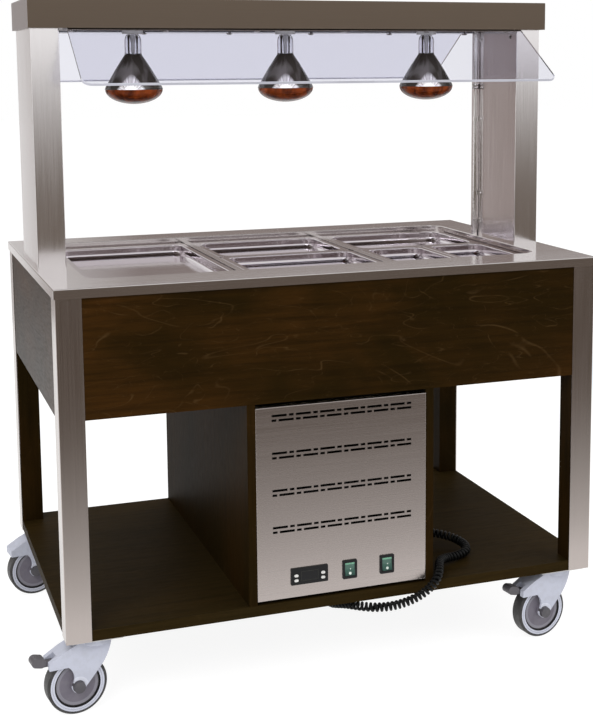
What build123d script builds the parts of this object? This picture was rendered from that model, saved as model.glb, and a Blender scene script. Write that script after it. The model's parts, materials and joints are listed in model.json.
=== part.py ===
"""Mobile buffet counter with a cooled well, heat lamps, glass guards and swivel casters.

Millimetres, +Z up, front at -Y, +X to the right seen from the front.
The origin is on the floor under the middle of the worktop.
"""
import math
import os

from build123d import *

# Worktop
counter_length = 1200.0
counter_depth = 780.0
counter_height = 886.0
sheet = 2.0
lip_drop = 20.0
fold_radius = 2.0

# Legs, shelf and boards
leg_inset = 3.0
leg_width = 52.0
angle_wall = 2.0
caster_height = 162.0
shelf_thick = 23.0
apron_height = 264.0
apron_thick = 19.0
apron_setback = 1.0
divider_thick = 18.0
bay_width = 384.0
bay_centre = -4.0
board_gap = 1.0

# Cold well and food pans
gn_width = 325.0
gn_length = 530.0
bar_width = 20.0
well_end_play = 7.5
well_side_play = 23.0
well_y = 10.0
well_corner = 45.0
recess_drop = 16.0
ledge_end = 15.0
ledge_side = 35.0
tank_wall = 2.0
tank_depth = 174.0
opening_corner = 12.0
foam_wall = 38.0
foam_floor = 38.0
evaporator_tube = 10.0
evaporator_pitch = 56.0
evaporator_runs = 8
evaporator_margin = 30.0
coil_gap = 0.3
bar_rib = 17.0
bar_rib_height = 4.0
bar_flange = 40.0
bar_flange_thick = 4.0
bar_end_play = 1.0
pan_wall = 1.2
pan_rim = 14.0
pan_rim_thick = 3.0
pan_rim_corner = 14.0
pan_corner = 26.0
pan_floor_radius = 10.0
pan_rim_round = 1.0
pan_mouth_round = 2.0
pan_gap = 1.0
pan_taper = 4.0
pan_depth = 20.0

# Service panels
panel_gap_low = 8.0
panel_gap_high = 9.0
panel_sheet = 1.5
panel_fold = 1.5
panel_flange = 20.0
vent_long = 33.0
vent_short = 10.2
vent_gap = 5.0
vent_pairs = 6
vent_height = 5.0
vent_row_pitch = 10.0
vent_groups = 4
vent_margin = 18.5
vent_rise = 112.0

# Thermostat and rocker switches
control_rise = 46.0
case_x = -81.5
bezel_width = 83.0
bezel_height = 37.0
bezel_proud = 2.5
bezel_corner = 2.0
case_width = 76.0
case_height = 30.0
case_length = 58.0
cutout_play = 0.2
lens_width = 38.0
lens_height = 20.0
lens_thick = 1.5
key_width = 9.0
key_height = 5.6
key_proud = 1.8
key_play = 0.3
key_wall = 2.5
key_flange = 1.2
key_flange_thick = 1.5
key_travel = 1.0
key_spacing_x = 60.0
key_spacing_z = 10.7
key_drop = 3.0
rocker_x = (10.0, 96.0)
rocker_frame_width = 33.0
rocker_frame_height = 41.5
rocker_frame_corner = 3.0
rocker_body_inset = 2.5
rocker_body_length = 32.0
rocker_width = 22.0
rocker_height = 28.0
rocker_side_play = 0.5
rocker_end_play = 1.0
rocker_front = 4.0
rocker_pivot_depth = 1.0
rocker_back = 3.0
rocker_crown = 1.6
rocker_tilt = 7.0
rocker_pocket = 6.0
rocker_pin = 3.0
rocker_pin_bite = 2.0
pivot_play = 0.05

# Columns, canopy and conduit
column_width = 60.0
column_depth = 242.0
column_edge = 7.0
column_height = 507.0
column_wall = 2.0
canopy_length = 1198.0
canopy_depth = 278.0
canopy_height = 62.0
conduit_tube = 12.0
conduit_wall = 1.2
conduit_y = 83.0
ferrule = 15.0
ferrule_height = 12.0
seat_gap = 0.3
clip_heights = (34.0, 106.0, 292.0, 486.0)
clip_width = 12.0
clip_sheet = 1.5
clip_tab = 26.0
clip_screw = 6.0
clip_screw_head = 2.0

# Glass guards
glass_thick = 5.0
glass_half_length = 522.0
glass_flange_y = 95.0
glass_bend_y = 161.0
glass_edge_y = 338.0
glass_drop = 115.0
glass_bend_radius = 14.0
glass_corner = 20.0
screw_y = 115.0
screw_spacing = 203.3
screw_count = 6
screw_shank = 5.0
screw_head = 13.0
screw_head_height = 4.0
screw_hole_play = 0.5
screw_reach = 12.0

# Heat lamps
lamp_spacing = 354.0
lamp_diameter = 127.0
lamp_bottom_drop = 163.0
lamp_rim_drop = 131.0
lamp_neck = 38.0
lamp_neck_drop = 56.0
lamp_cap = 26.6
lamp_cap_height = 28.0
lamp_glass = 1.5
lamp_shoulder = (0.90, 13.0)
lamp_bend_shape = (0.972, 0.5)
lamp_cone_shape = (0.53, 0.5)
lamp_tip = 4.0
socket_flange = 47.0
socket_flange_height = 10.0
socket_body = 42.0
socket_body_height = 40.0
socket_play = 0.5

# Casters
caster_inset_x = 67.0
caster_inset_y = 53.0
caster_yaw = 8.0
caster_trail = 42.0
wheel_diameter = 125.0
wheel_width = 32.0
tyre_depth = 3.5
tyre_edge = 3.0
rim_depth = 11.0
rim_recess = 0.5
groove_width = 2.0
groove_depth = 6.0
disc_width = 24.0
hub_radius = 15.0
axle_diameter = 12.0
axle_cap = 24.0
axle_cap_height = 8.0
axle_play = 0.05
fork_outer = 48.0
fork_slot = 36.0
fork_wheel_gap = 4.0
fork_side_gap = 0.3
fork_eye = 14.0
fork_heel = 30.0
fork_waist = (9.0, 25.0)
fork_back = (-22.0, 33.0)
fork_elbow = (-2.0, 65.0)
fork_shoulder = (30.0, 14.0)
nose_tip_inset = 3.5
nose_tip_drop = (18.0, 3.0)
nose_root = 20.0
swivel_head = 72.0
swivel_head_height = 12.0
plate_length = 105.0
plate_width = 85.0
plate_thick = 4.0
kingpin = 16.0
kingpin_length = 34.0
kingpin_play = 0.05
kingpin_floor = 1.0
pedal_pivot = (-12.5, -9.0)
pedal_pin = 6.0
pedal_pin_bite = 8.0
pedal_arm = 20.0
pedal_arm_play = 1.0
pedal_arm_height = 8.0
pedal_arm_tail = 4.0
pedal_bar_width = 26.0
pedal_bar = 19.0
pedal_bar_near = (9.5, -3.0)
pedal_bar_far = (20.0, -0.5)

# Cooling unit
condenser_length = 300.0
condenser_depth = 60.0
condenser_height = 280.0
condenser_setback = 86.0
condenser_fins = 24
condenser_fin_depth = 18.0
condenser_rail = 14.0
fan_diameter = 230.0
fan_tip_gap = 4.0
fan_plate = 4.0
fan_ring_wall = 3.0
fan_ring_length = 46.0
fan_hub = 60.0
fan_hub_length = 28.0
fan_blades = 5
fan_blade_thick = 3.0
fan_blade_width = 44.0
fan_blade_pitch = 28.0
fan_blade_bite = 4.0
fan_shaft = 8.0
fan_motor = 70.0
fan_motor_length = 60.0
fan_arm = 12.0
compressor_x = 50.0
compressor_y = 120.0
compressor_diameter = 150.0
compressor_height = 175.0
compressor_dome = 40.0
compressor_base = (200.0, 160.0, 5.0)
compressor_foot = 30.0
compressor_foot_height = 15.0

# Mains lead
wire = 6.5
coil_radius = 7.25
coil_pitch = 9.8
coil_steps = 4
coil_lead = 13.0
cord_stub = 18.0
gland_diameter = 26.0
gland_flange = 8.0
gland_length = 30.0
gland_tip = 13.0
plug_diameter = 38.0
plug_length = 48.0
plug_neck = 14.0
plug_neck_length = 16.0
plug_pin = 4.8
plug_pin_length = 19.0
plug_pin_spacing = 19.0
plug_pin_play = 0.2
holder_width = 50.0
holder_length = 34.0
holder_drop = 44.0
plug_axis_drop = 22.0
gland_place = (-172.0, 228.0)
plug_rear_y = -270.0
plug_x = -4.0
cord_route = [
    (266.0, -173.0, 220.0),
    (298.0, -180.0, 214.0),
    (334.0, -205.0, 208.0),
    (350.0, -245.0, 202.0),
    (338.0, -281.0, 199.0),
    (306.0, -299.0, 198.0),
    (270.0, -309.0, 201.0),
    (244.0, -335.0, 207.0),
    (229.0, -368.0, 208.0),
    (214.0, -398.0, 199.0),
    (192.0, -410.0, 182.0),
    (161.0, -411.0, 164.0),
    (124.0, -409.0, 153.0),
    (90.0, -405.0, 149.0),
    (60.0, -397.0, 149.0),
    (34.0, -378.0, 149.0),
    (14.0, -350.0, 146.0),
    (1.0, -323.0, 138.0),
]

# Heights and planes that several pieces share
half_length = counter_length / 2
half_depth = counter_depth / 2
plate_under = counter_height - sheet
leg_x = half_length - leg_inset
leg_y = half_depth - leg_inset
board_x = leg_x - angle_wall
board_y = leg_y - angle_wall
post_x = leg_x - leg_width
post_y = leg_y - leg_width
shelf_top = caster_height + shelf_thick
apron_face_x = leg_x - apron_setback
apron_face_y = leg_y - apron_setback
apron_bottom = plate_under - apron_height
panel_bottom = shelf_top + panel_gap_low
panel_top = apron_bottom - panel_gap_high
control_z = panel_bottom + control_rise
vent_top = panel_top - vent_margin
vent_group_pitch = (vent_top - control_z - vent_rise) / (vent_groups - 1)
condenser_y = condenser_setback + condenser_depth / 2 - apron_face_y
bay_left = bay_centre - bay_width / 2
bay_right = bay_centre + bay_width / 2
ledge_top = counter_height - recess_drop
ledge_under = ledge_top - sheet
pan_pitch = gn_width + bar_width
well_length = 3 * gn_width + 2 * bar_width + 2 * well_end_play
well_depth = gn_length + 2 * well_side_play
opening_length = well_length - 2 * ledge_end
opening_depth = well_depth - 2 * ledge_side
tank_floor = ledge_under - tank_depth
coil_room = evaporator_tube + 2 * coil_gap
foam_bottom = tank_floor - coil_room - foam_floor
canopy_bottom = counter_height + column_height
canopy_top = canopy_bottom + canopy_height
column_outer = half_length - column_edge
column_inner = column_outer - column_width
axle_z = wheel_diameter / 2
plate_bottom = caster_height - plate_thick


def block(x, y, z):
    """Box between the low and high ends given for each axis."""
    middle = [(ends[0] + ends[1]) / 2 for ends in (x, y, z)]
    size = [ends[1] - ends[0] for ends in (x, y, z)]
    return Pos(*middle) * Box(*size)


def mid_block(x, y, z):
    """Box symmetric in X and Y, from half sizes and the low and high ends in Z."""
    return block((-x, x), (-y, y), z)


def rounded(length, depth, corner, z, centre=(0.0, 0.0)):
    """Upright prism with rounded corners between two heights."""
    outline = Pos(centre[0], centre[1], z[0]) * RectangleRounded(length, depth, corner)
    return extrude(outline, amount=z[1] - z[0])


def rod(start, end, radius):
    """Round bar between two points."""
    axis = Vector(*end) - Vector(*start)
    return extrude(Plane(origin=start, z_dir=axis) * Circle(radius), amount=axis.length)


def save(node, *shapes):
    """Write the solids of one node to its own file."""
    solids = [solid for shape in shapes for solid in shape.solids()]
    export_step(Compound(children=solids), f"parts/{node}.step")


def folded(sheet_block, radius):
    """Block with the outer radii of folded sheet on its upper and upright edges."""
    edges = sheet_block.edges()
    return fillet(edges.group_by(Axis.Z)[-1] + edges.filter_by(Axis.Z), radius)


def well_prism(grow, corner, z):
    """Prism round the opening of the well, larger by grow on every side."""
    return rounded(opening_length + 2 * grow, opening_depth + 2 * grow, corner, z, (0, well_y))


def rim_prism(grow, corner, z):
    """Prism round the sunk rim of the well, larger by grow on every side."""
    return rounded(well_length + 2 * grow, well_depth + 2 * grow, corner, z, (0, well_y))


def top_plate():
    """Worktop sheet with folded lips and the stepped rim of the well."""
    inside = (ledge_under, counter_height)
    plate = mid_block(half_length, half_depth, (counter_height - lip_drop, counter_height))
    plate = folded(plate, fold_radius)
    plate -= mid_block(half_length - sheet, half_depth - sheet, (counter_height - lip_drop, plate_under))
    plate += rim_prism(sheet, well_corner + sheet, inside)
    plate -= rim_prism(0, well_corner, (ledge_top, counter_height))
    plate -= well_prism(0, opening_corner, inside)
    top_edges = plate.edges().group_by(Axis.Z)[-1]
    rim = [edge for edge in top_edges if abs(edge.center().Y - well_y) < (well_depth + sheet) / 2]
    rim = [edge for edge in rim if abs(edge.center().X) < (well_length + sheet) / 2]
    return fillet(rim, fold_radius)


def well_tank():
    """Open steel box welded under the ledge."""
    tank = well_prism(tank_wall, opening_corner + tank_wall, (tank_floor, ledge_under))
    return tank - well_prism(0, opening_corner, (tank_floor + tank_wall, ledge_under))


def well_insulation():
    """Foam jacket round the tank with room for the evaporator under it."""
    room_x = opening_length / 2 + tank_wall
    room_y = opening_depth / 2 + tank_wall
    jacket = mid_block(room_x + foam_wall, room_y + foam_wall, (foam_bottom, ledge_under))
    jacket -= mid_block(room_x, room_y, (tank_floor - coil_room, ledge_under))
    return Pos(0, well_y, 0) * jacket


def evaporator_coil():
    """Serpentine tube under the floor of the tank."""
    reach = opening_length / 2 - evaporator_margin - evaporator_pitch / 2
    first = well_y - evaporator_pitch * (evaporator_runs - 1) / 2
    z = tank_floor - coil_gap - evaporator_tube / 2
    edges = []
    for run in range(evaporator_runs):
        side = 1 if run % 2 == 0 else -1
        y = first + run * evaporator_pitch
        edges.append(Line((-side * reach, y, z), (side * reach, y, z)))
        if run < evaporator_runs - 1:
            crown = (side * (reach + evaporator_pitch / 2), y + evaporator_pitch / 2, z)
            back = (side * reach, y + evaporator_pitch, z)
            edges.append(ThreePointArc((side * reach, y, z), crown, back))
    path = Wire(edges)
    section = Plane(origin=(-reach, first, z), z_dir=(1, 0, 0)) * Circle(evaporator_tube / 2)
    return sweep(section, path)


def well_crossbar(x):
    """Bar across the well: a flange level with the ledge and a rib that rests on it."""
    rib_end = well_depth / 2 - bar_end_play
    flange_end = opening_depth / 2 - bar_end_play
    bar = mid_block(bar_rib / 2, rib_end, (ledge_top, ledge_top + bar_rib_height))
    bar += mid_block(bar_flange / 2, flange_end, (ledge_top - bar_flange_thick, ledge_top))
    return Pos(x, well_y, 0) * bar


def inside_of(edge, size):
    """Whether an edge lies within a rectangle about the Z axis."""
    middle = edge.center()
    return abs(middle.X) <= size[0] / 2 and abs(middle.Y) <= size[1] / 2


def food_pan(x, y, width, length):
    """Lift-out pan with a flat rim and a tapered basin, its rim resting on the ledge."""
    mouth = (width - 2 * pan_rim, length - 2 * pan_rim)
    rim = RectangleRounded(width - pan_gap, length - pan_gap, pan_rim_corner)
    pan = extrude(Pos(0, 0, ledge_top) * rim, amount=pan_rim_thick)
    pan = fillet(pan.edges().group_by(Axis.Z)[-1], pan_rim_round)
    outer = Pos(0, 0, ledge_top) * RectangleRounded(*mouth, pan_corner)
    basin = extrude(outer, amount=-pan_depth, taper=pan_taper)
    pan += fillet(basin.edges().group_by(Axis.Z)[0], pan_floor_radius)
    inner = RectangleRounded(mouth[0] - 2 * pan_wall, mouth[1] - 2 * pan_wall, pan_corner - pan_wall)
    hollow = extrude(Pos(0, 0, ledge_top) * inner, amount=pan_wall - pan_depth, taper=pan_taper)
    pan -= fillet(hollow.edges().group_by(Axis.Z)[0], pan_floor_radius - pan_wall)
    mouth_cut = extrude(Pos(0, 0, ledge_top) * inner, amount=pan_rim_thick)
    pan -= mouth_cut
    lips = [edge for edge in pan.edges().group_by(Axis.Z)[-1] if inside_of(edge, mouth)]
    return Pos(x, y, 0) * fillet(lips, pan_mouth_round)


def food_pans():
    """Pans by name: one full tray, three halves and two quarters."""
    half = gn_length / 2
    quarter = gn_width / 2
    front = well_y - half / 2
    rear = well_y + half / 2
    return {
        "pan_left": food_pan(-pan_pitch, well_y, gn_width, gn_length),
        "pan_middle_front": food_pan(0, front, gn_width, half),
        "pan_middle_rear": food_pan(0, rear, gn_width, half),
        "pan_right_rear": food_pan(pan_pitch, rear, gn_width, half),
        "pan_right_front_inner": food_pan(pan_pitch - quarter / 2, front, quarter, half),
        "pan_right_front_outer": food_pan(pan_pitch + quarter / 2, front, quarter, half),
    }


def at_corners(piece):
    """Copies of a piece at the four corners, mirrored from the one at +X and +Y."""
    pair = [piece, mirror(piece, Plane.YZ)]
    return pair + [mirror(one, Plane.XZ) for one in pair]


def leg_angle():
    """Steel angle over the rear right corner, from the shelf's underside to the worktop."""
    z = (caster_height, plate_under)
    angle = block((post_x, leg_x), (post_y, leg_y), z)
    corner = angle.edges().filter_by(Axis.Z).sort_by(lambda edge: edge.center().X + edge.center().Y)[-1]
    return fillet(corner, fold_radius) - block((post_x, board_x), (post_y, board_y), z)


def corner_post():
    """Wooden post inside the rear right angle, standing on the shelf."""
    return block((post_x, board_x), (post_y, board_y), (shelf_top, plate_under))


def long_apron(side):
    """Board between the legs at the front, side -1, or at the rear, side 1."""
    y = sorted((side * apron_face_y, side * (apron_face_y - apron_thick)))
    return block((-post_x, post_x), y, (apron_bottom, plate_under))


def end_apron(side):
    """Board between the legs at the left, side -1, or at the right, side 1."""
    x = sorted((side * apron_face_x, side * (apron_face_x - apron_thick)))
    return block(x, (-post_y, post_y), (apron_bottom, plate_under))


def base_shelf():
    """Board between the leg angles that carries the bay."""
    return mid_block(board_x, board_y, (caster_height, shelf_top))


def divider(side):
    """Board beside the bay, notched up behind the aprons to carry the foam jacket."""
    inner = bay_left if side < 0 else bay_right
    x = sorted((inner, inner + side * divider_thick))
    behind = apron_face_y - apron_thick - board_gap
    board = block(x, (-board_y, board_y), (shelf_top, apron_bottom))
    return board + block(x, (-behind, behind), (apron_bottom, foam_bottom))


def vent_slots():
    """Rows of long and short slots, each lower row starting with the short one."""
    step = vent_long + vent_short + 2 * vent_gap
    width = vent_pairs * step - vent_gap
    slots = []
    for row in range(2 * vent_groups):
        group, lower = divmod(row, 2)
        z = vent_top - group * vent_group_pitch - lower * vent_row_pitch
        order = (vent_short, vent_long) if lower else (vent_long, vent_short)
        x = bay_centre - width / 2
        for slot in order * vent_pairs:
            slots.append(Pos(x + slot / 2, 0, z) * Box(slot, 4 * panel_flange, vent_height))
            x += slot + vent_gap
    return slots


def service_panel():
    """Vented sheet panel with flanges folded back against the dividers, face towards -Y."""
    x = (bay_left, bay_right)
    z = (panel_bottom, panel_top)
    face = -apron_face_y
    hollow_x = (x[0] + panel_sheet, x[1] - panel_sheet)
    hollow_z = (z[0] + panel_sheet, z[1] - panel_sheet)
    panel = block(x, (face, face + panel_flange), z)
    panel = fillet(panel.edges().group_by(Axis.Y)[0], panel_fold)
    panel -= block(hollow_x, (face + panel_sheet, face + panel_flange), hollow_z)
    return panel - [Pos(0, face, 0) * slot for slot in vent_slots()]


def front_service_panel():
    """Service panel with cutouts for the thermostat and the two switches."""
    face = -apron_face_y
    deep = 4 * panel_sheet
    case_cut = Box(case_width + 2 * cutout_play, deep, case_height + 2 * cutout_play)
    cuts = [Pos(case_x, face, control_z) * case_cut]
    body = rocker_body_size()
    rocker_cut = Box(body[0] + 2 * cutout_play, deep, body[1] + 2 * cutout_play)
    cuts += [Pos(x, face, control_z) * rocker_cut for x in rocker_x]
    return service_panel() - cuts


def rocker_body_size():
    """Width and height of a switch body behind its frame."""
    return rocker_frame_width - 2 * rocker_body_inset, rocker_frame_height - 2 * rocker_body_inset


def thermostat_case():
    """Thermostat housing: a thin bezel in front of the panel, pockets for the keys and the lens."""
    face = -apron_face_y
    front = face - bezel_proud
    bezel_face = Plane.XZ * RectangleRounded(bezel_width, bezel_height, bezel_corner)
    bezel = extrude(bezel_face, amount=bezel_proud)
    case = Pos(0, face, 0) * bezel
    body_x = case_width / 2
    body_z = case_height / 2
    case += block((-body_x, body_x), (face, face + case_length), (-body_z, body_z))
    case -= Pos(0, front, 0) * lens_plate(cutout_play)
    pocket = key_flange_thick + key_travel + 2 * key_play
    for x, z in key_places():
        case -= Pos(x, front, z) * key_prism(key_play, 0, key_wall)
        case -= Pos(x, front, z) * key_prism(key_flange + key_play, key_wall, key_wall + pocket)
    return Pos(case_x, 0, control_z) * case


def lens_plate(play):
    """Window over the display, its front in the plane y = 0."""
    return Pos(0, lens_thick / 2, 0) * Box(lens_width + 2 * play, lens_thick, lens_height + 2 * play)


def thermostat_lens():
    """Window in its recess in the bezel."""
    return Pos(case_x, -apron_face_y - bezel_proud, control_z) * lens_plate(0)


def key_places():
    """Places of the four keys, from the middle of the thermostat."""
    x = key_spacing_x / 2
    z = key_spacing_z / 2
    return [(side * x, level * z - key_drop) for level in (1, -1) for side in (-1, 1)]


def key_prism(grow, start, end):
    """Oval prism along Y, larger than the key's cap by grow on every side."""
    outline = SlotOverall(key_width + 2 * grow, key_height + 2 * grow)
    return Pos(0, start, 0) * extrude(Plane.XZ * outline, amount=start - end)


def key(place):
    """Key cap with a flange that the bezel keeps in."""
    seat = key_wall + key_play
    cap = key_prism(0, -key_proud, seat) + key_prism(key_flange, seat, seat + key_flange_thick)
    return Pos(case_x + place[0], -apron_face_y - bezel_proud, control_z + place[1]) * cap


def rocker_frame(x):
    """Switch body with a proud frame, a pocket for the rocker and holes for its pivot."""
    face = -apron_face_y
    front = face - bezel_proud
    pivot = face + rocker_pivot_depth
    outline = RectangleRounded(rocker_frame_width, rocker_frame_height, rocker_frame_corner)
    frame = Pos(0, face, 0) * extrude(Plane.XZ * outline, amount=bezel_proud)
    width, height = rocker_body_size()
    frame += block((-width / 2, width / 2), (face, face + rocker_body_length), (-height / 2, height / 2))
    pocket_x = rocker_width / 2 + rocker_side_play
    pocket_z = rocker_height / 2 + rocker_end_play
    frame -= block((-pocket_x, pocket_x), (front, pivot + rocker_pocket), (-pocket_z, pocket_z))
    reach = pocket_x + rocker_pin_bite + rocker_side_play
    frame -= rod((-reach, pivot, 0), (reach, pivot, 0), rocker_pin / 2 + pivot_play)
    return Pos(x, 0, control_z) * frame


def rocker(x):
    """Rocker with a hollow front and its pivot pin, resting with its upper half pressed in."""
    half = rocker_height / 2
    valley = rocker_front - rocker_crown
    crown = [(-rocker_front, half), (-valley, 0), (-rocker_front, -half)]
    corners = crown + [(rocker_back, -half), (rocker_back, half)]
    outline = make_face(Polyline([(0, y, z) for y, z in corners], close=True))
    body = extrude(outline, amount=rocker_width / 2, dir=(1, 0, 0), both=True)
    reach = rocker_width / 2 + rocker_side_play + rocker_pin_bite
    body += rod((-reach, 0, 0), (reach, 0, 0), rocker_pin / 2)
    return Pos(x, -apron_face_y + rocker_pivot_depth, control_z) * Rot(-rocker_tilt, 0, 0) * body


def clip_places():
    """Heights of the conduit's clips."""
    return [counter_height + height for height in clip_heights]


def conduit_x():
    """Middle of the conduit, which stands clear of the column by its ferrule."""
    return column_inner - ferrule / 2 - seat_gap


def clip_screw_y():
    """Middle of the screws beside the conduit."""
    return conduit_y - clip_tab + clip_screw


def column(side):
    """Steel box column on the worktop, the right one drilled for the conduit's clips."""
    z = (counter_height, canopy_bottom)
    x = sorted((side * column_inner, side * column_outer))
    hollow_x = (x[0] + column_wall, x[1] - column_wall)
    half = column_depth / 2
    tube = block(x, (-half, half), z)
    tube = fillet(tube.edges().filter_by(Axis.Z), fold_radius)
    tube -= block(hollow_x, (column_wall - half, half - column_wall), z)
    if side > 0:
        for height in clip_places():
            start = (column_inner - column_wall, clip_screw_y(), height)
            end = (column_inner + 2 * column_wall, clip_screw_y(), height)
            tube -= rod(start, end, clip_screw / 4 + cutout_play)
    return tube


def canopy_shell():
    """Beam over the columns, a tray open at the bottom."""
    x = canopy_length / 2
    y = canopy_depth / 2
    shell = folded(mid_block(x, y, (canopy_bottom, canopy_top)), fold_radius)
    return shell - mid_block(x - sheet, y - sheet, (canopy_bottom, canopy_top - sheet))


def canopy_base():
    """Floor sheet of the beam with holes for the lamp sockets and the guards' screws."""
    top = canopy_bottom + sheet
    floor = mid_block(canopy_length / 2 - sheet, canopy_depth / 2 - sheet, (canopy_bottom, top))
    for x in lamp_places():
        floor -= rod((x, 0, canopy_bottom), (x, 0, top), socket_body / 2 + socket_play)
    for x, y in screw_places():
        floor -= rod((x, y, canopy_bottom), (x, y, top), screw_shank / 2 + screw_hole_play)
    return floor


def screw_places():
    """Places of the screws that hold both guards under the beam."""
    middle = (screw_count - 1) / 2
    return [((i - middle) * screw_spacing, side * screw_y) for side in (-1, 1) for i in range(screw_count)]


def glass_screw(x, y):
    """Pan-head screw up through the guard's flange and the beam's floor."""
    under = canopy_bottom - glass_thick
    head = rod((x, y, under - screw_head_height), (x, y, under), screw_head / 2)
    head = fillet(head.edges().group_by(Axis.Z)[0], screw_head_height / 2)
    return head + rod((x, y, under), (x, y, canopy_bottom + screw_reach), screw_shank / 2)


def glass_rear():
    """Bent guard: a flat flange under the beam and a sloping pane with rounded lower corners."""
    z = canopy_bottom - glass_thick / 2
    start = (0, glass_flange_y, z)
    lower = (0, glass_edge_y, canopy_bottom - glass_drop)
    path = FilletPolyline(start, (0, glass_bend_y, z), lower, radius=glass_bend_radius)
    across = Plane(origin=start, x_dir=(1, 0, 0), z_dir=(0, 1, 0))
    section = across * Rectangle(2 * glass_half_length, glass_thick)
    pane = sweep(section, path)
    ends = [edge for edge in pane.edges() if abs(edge.length - glass_thick) < seat_gap]
    low = [edge for edge in ends if edge.center().Z < canopy_bottom - glass_drop / 2]
    pane = fillet(low, glass_corner)
    for x, y in screw_places():
        if y > 0:
            pane -= rod((x, y, z - glass_thick), (x, y, z + glass_thick), screw_shank / 2 + screw_hole_play)
    return pane


def lamp_places():
    """Places of the heat lamps along the beam."""
    return [-lamp_spacing, 0.0, lamp_spacing]


def lamp_cap_top():
    """Height of the shoulder where the lamp's screw cap ends."""
    return canopy_bottom - socket_flange_height - seat_gap + lamp_cap_height


def lamp_socket(x):
    """Round socket through the beam's floor, its flange underneath."""
    under = canopy_bottom - socket_flange_height
    socket = rod((x, 0, under), (x, 0, canopy_bottom), socket_flange / 2)
    socket += rod((x, 0, canopy_bottom), (x, 0, canopy_bottom + socket_body_height), socket_body / 2)
    bore_end = lamp_cap_top() + lamp_tip + seat_gap
    return socket - rod((x, 0, under), (x, 0, bore_end), lamp_cap / 2 + seat_gap)


def lamp_solid(thin):
    """Filled reflector lamp, smaller all round by thin and open at the top when thin is not zero."""
    radius = lamp_diameter / 2 - thin
    neck = lamp_neck / 2 - thin
    cap = lamp_cap / 2 - thin
    bottom = canopy_bottom - lamp_bottom_drop + thin
    rim = canopy_bottom - lamp_rim_drop
    throat = canopy_bottom - lamp_neck_drop
    top = lamp_cap_top()
    cap_foot = top - lamp_cap_height - thin
    lens = Plane.XZ * EllipticalCenterArc((0, rim), radius, rim - bottom, start_angle=270, arc_size=90)
    out, rise = lamp_shoulder
    shoulder = (radius * out, 0, rim + rise)
    out, up = lamp_bend_shape
    bend = (radius * out, 0, rim + rise * up)
    out, up = lamp_cone_shape
    cone = (neck + (shoulder[0] - neck) * out, 0, shoulder[2] + (throat - shoulder[2]) * up)
    edges = [
        lens,
        ThreePointArc((radius, 0, rim), bend, shoulder),
        ThreePointArc(shoulder, cone, (neck, 0, throat)),
        Polyline((neck, 0, throat), (neck, 0, cap_foot), (cap, 0, cap_foot), (cap, 0, top), (0, 0, top)),
        Line((0, 0, top), (0, 0, bottom)),
    ]
    return revolve(make_face(edges), Axis.Z)


def lamp_bulb(x):
    """Hollow reflector lamp and the contact that closes its cap."""
    bulb = lamp_solid(0) - lamp_solid(lamp_glass)
    tip = rod((0, 0, lamp_cap_top()), (0, 0, lamp_cap_top() + lamp_tip), lamp_cap / 2)
    tip = fillet(tip.edges().group_by(Axis.Z)[-1], lamp_tip / 2)
    return [Pos(x, 0, 0) * bulb, Pos(x, 0, 0) * tip]


def conduit():
    """Cable tube from the worktop to the beam with a ferrule at its foot."""
    foot = (conduit_x(), conduit_y, counter_height)
    collar = (conduit_x(), conduit_y, counter_height + ferrule_height)
    top = (conduit_x(), conduit_y, canopy_bottom)
    tube = rod(foot, top, conduit_tube / 2) + rod(foot, collar, ferrule / 2)
    return tube - rod(foot, top, conduit_tube / 2 - conduit_wall)


def conduit_clip(height):
    """Saddle clip round the conduit and the screw that holds its tab to the column."""
    z = (height - clip_width / 2, height + clip_width / 2)
    ends = [(conduit_x(), conduit_y, level) for level in z]
    bore = conduit_tube / 2 + cutout_play
    tab_x = (column_inner - clip_sheet, column_inner)
    saddle = rod(*ends, bore + clip_sheet) - block((column_inner, column_outer), (0, column_depth), z)
    saddle += block(tab_x, (conduit_y - clip_tab, conduit_y + bore), z)
    saddle -= rod(*ends, bore)
    y = clip_screw_y()
    shank = clip_screw / 4
    saddle -= rod((tab_x[0], y, height), (tab_x[1], y, height), shank + cutout_play)
    screw = rod((tab_x[0] - clip_screw_head, y, height), (tab_x[0], y, height), clip_screw / 2)
    screw += rod((tab_x[0], y, height), (column_inner + 2 * column_wall, y, height), shank)
    return [saddle, screw]


def caster_places():
    """Swivel axes of the casters by name."""
    x = half_length - caster_inset_x
    y = half_depth - caster_inset_y
    return {"front_left": (-x, -y), "front_right": (x, -y), "rear_left": (-x, y), "rear_right": (x, y)}


def at_caster(place, piece):
    """A caster piece, drawn with its wheel behind the swivel towards +X, turned as it stands."""
    return Pos(place[0], place[1], 0) * Rot(0, 0, 180 + caster_yaw) * piece


def from_wheel(offset):
    """Point in the fork's side view, given from the level and the front of the wheel's top."""
    return caster_trail + axle_z + offset[0], wheel_diameter + offset[1]


def caster_plate(place):
    """Top plate under the shelf with the kingpin that the fork turns on."""
    plate = Pos(0, 0, plate_bottom + plate_thick / 2) * Box(plate_length, plate_width, plate_thick)
    pin = rod((0, 0, plate_bottom - kingpin_length), (0, 0, plate_bottom), kingpin / 2)
    return Pos(place[0], place[1], 0) * (plate + pin)


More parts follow.
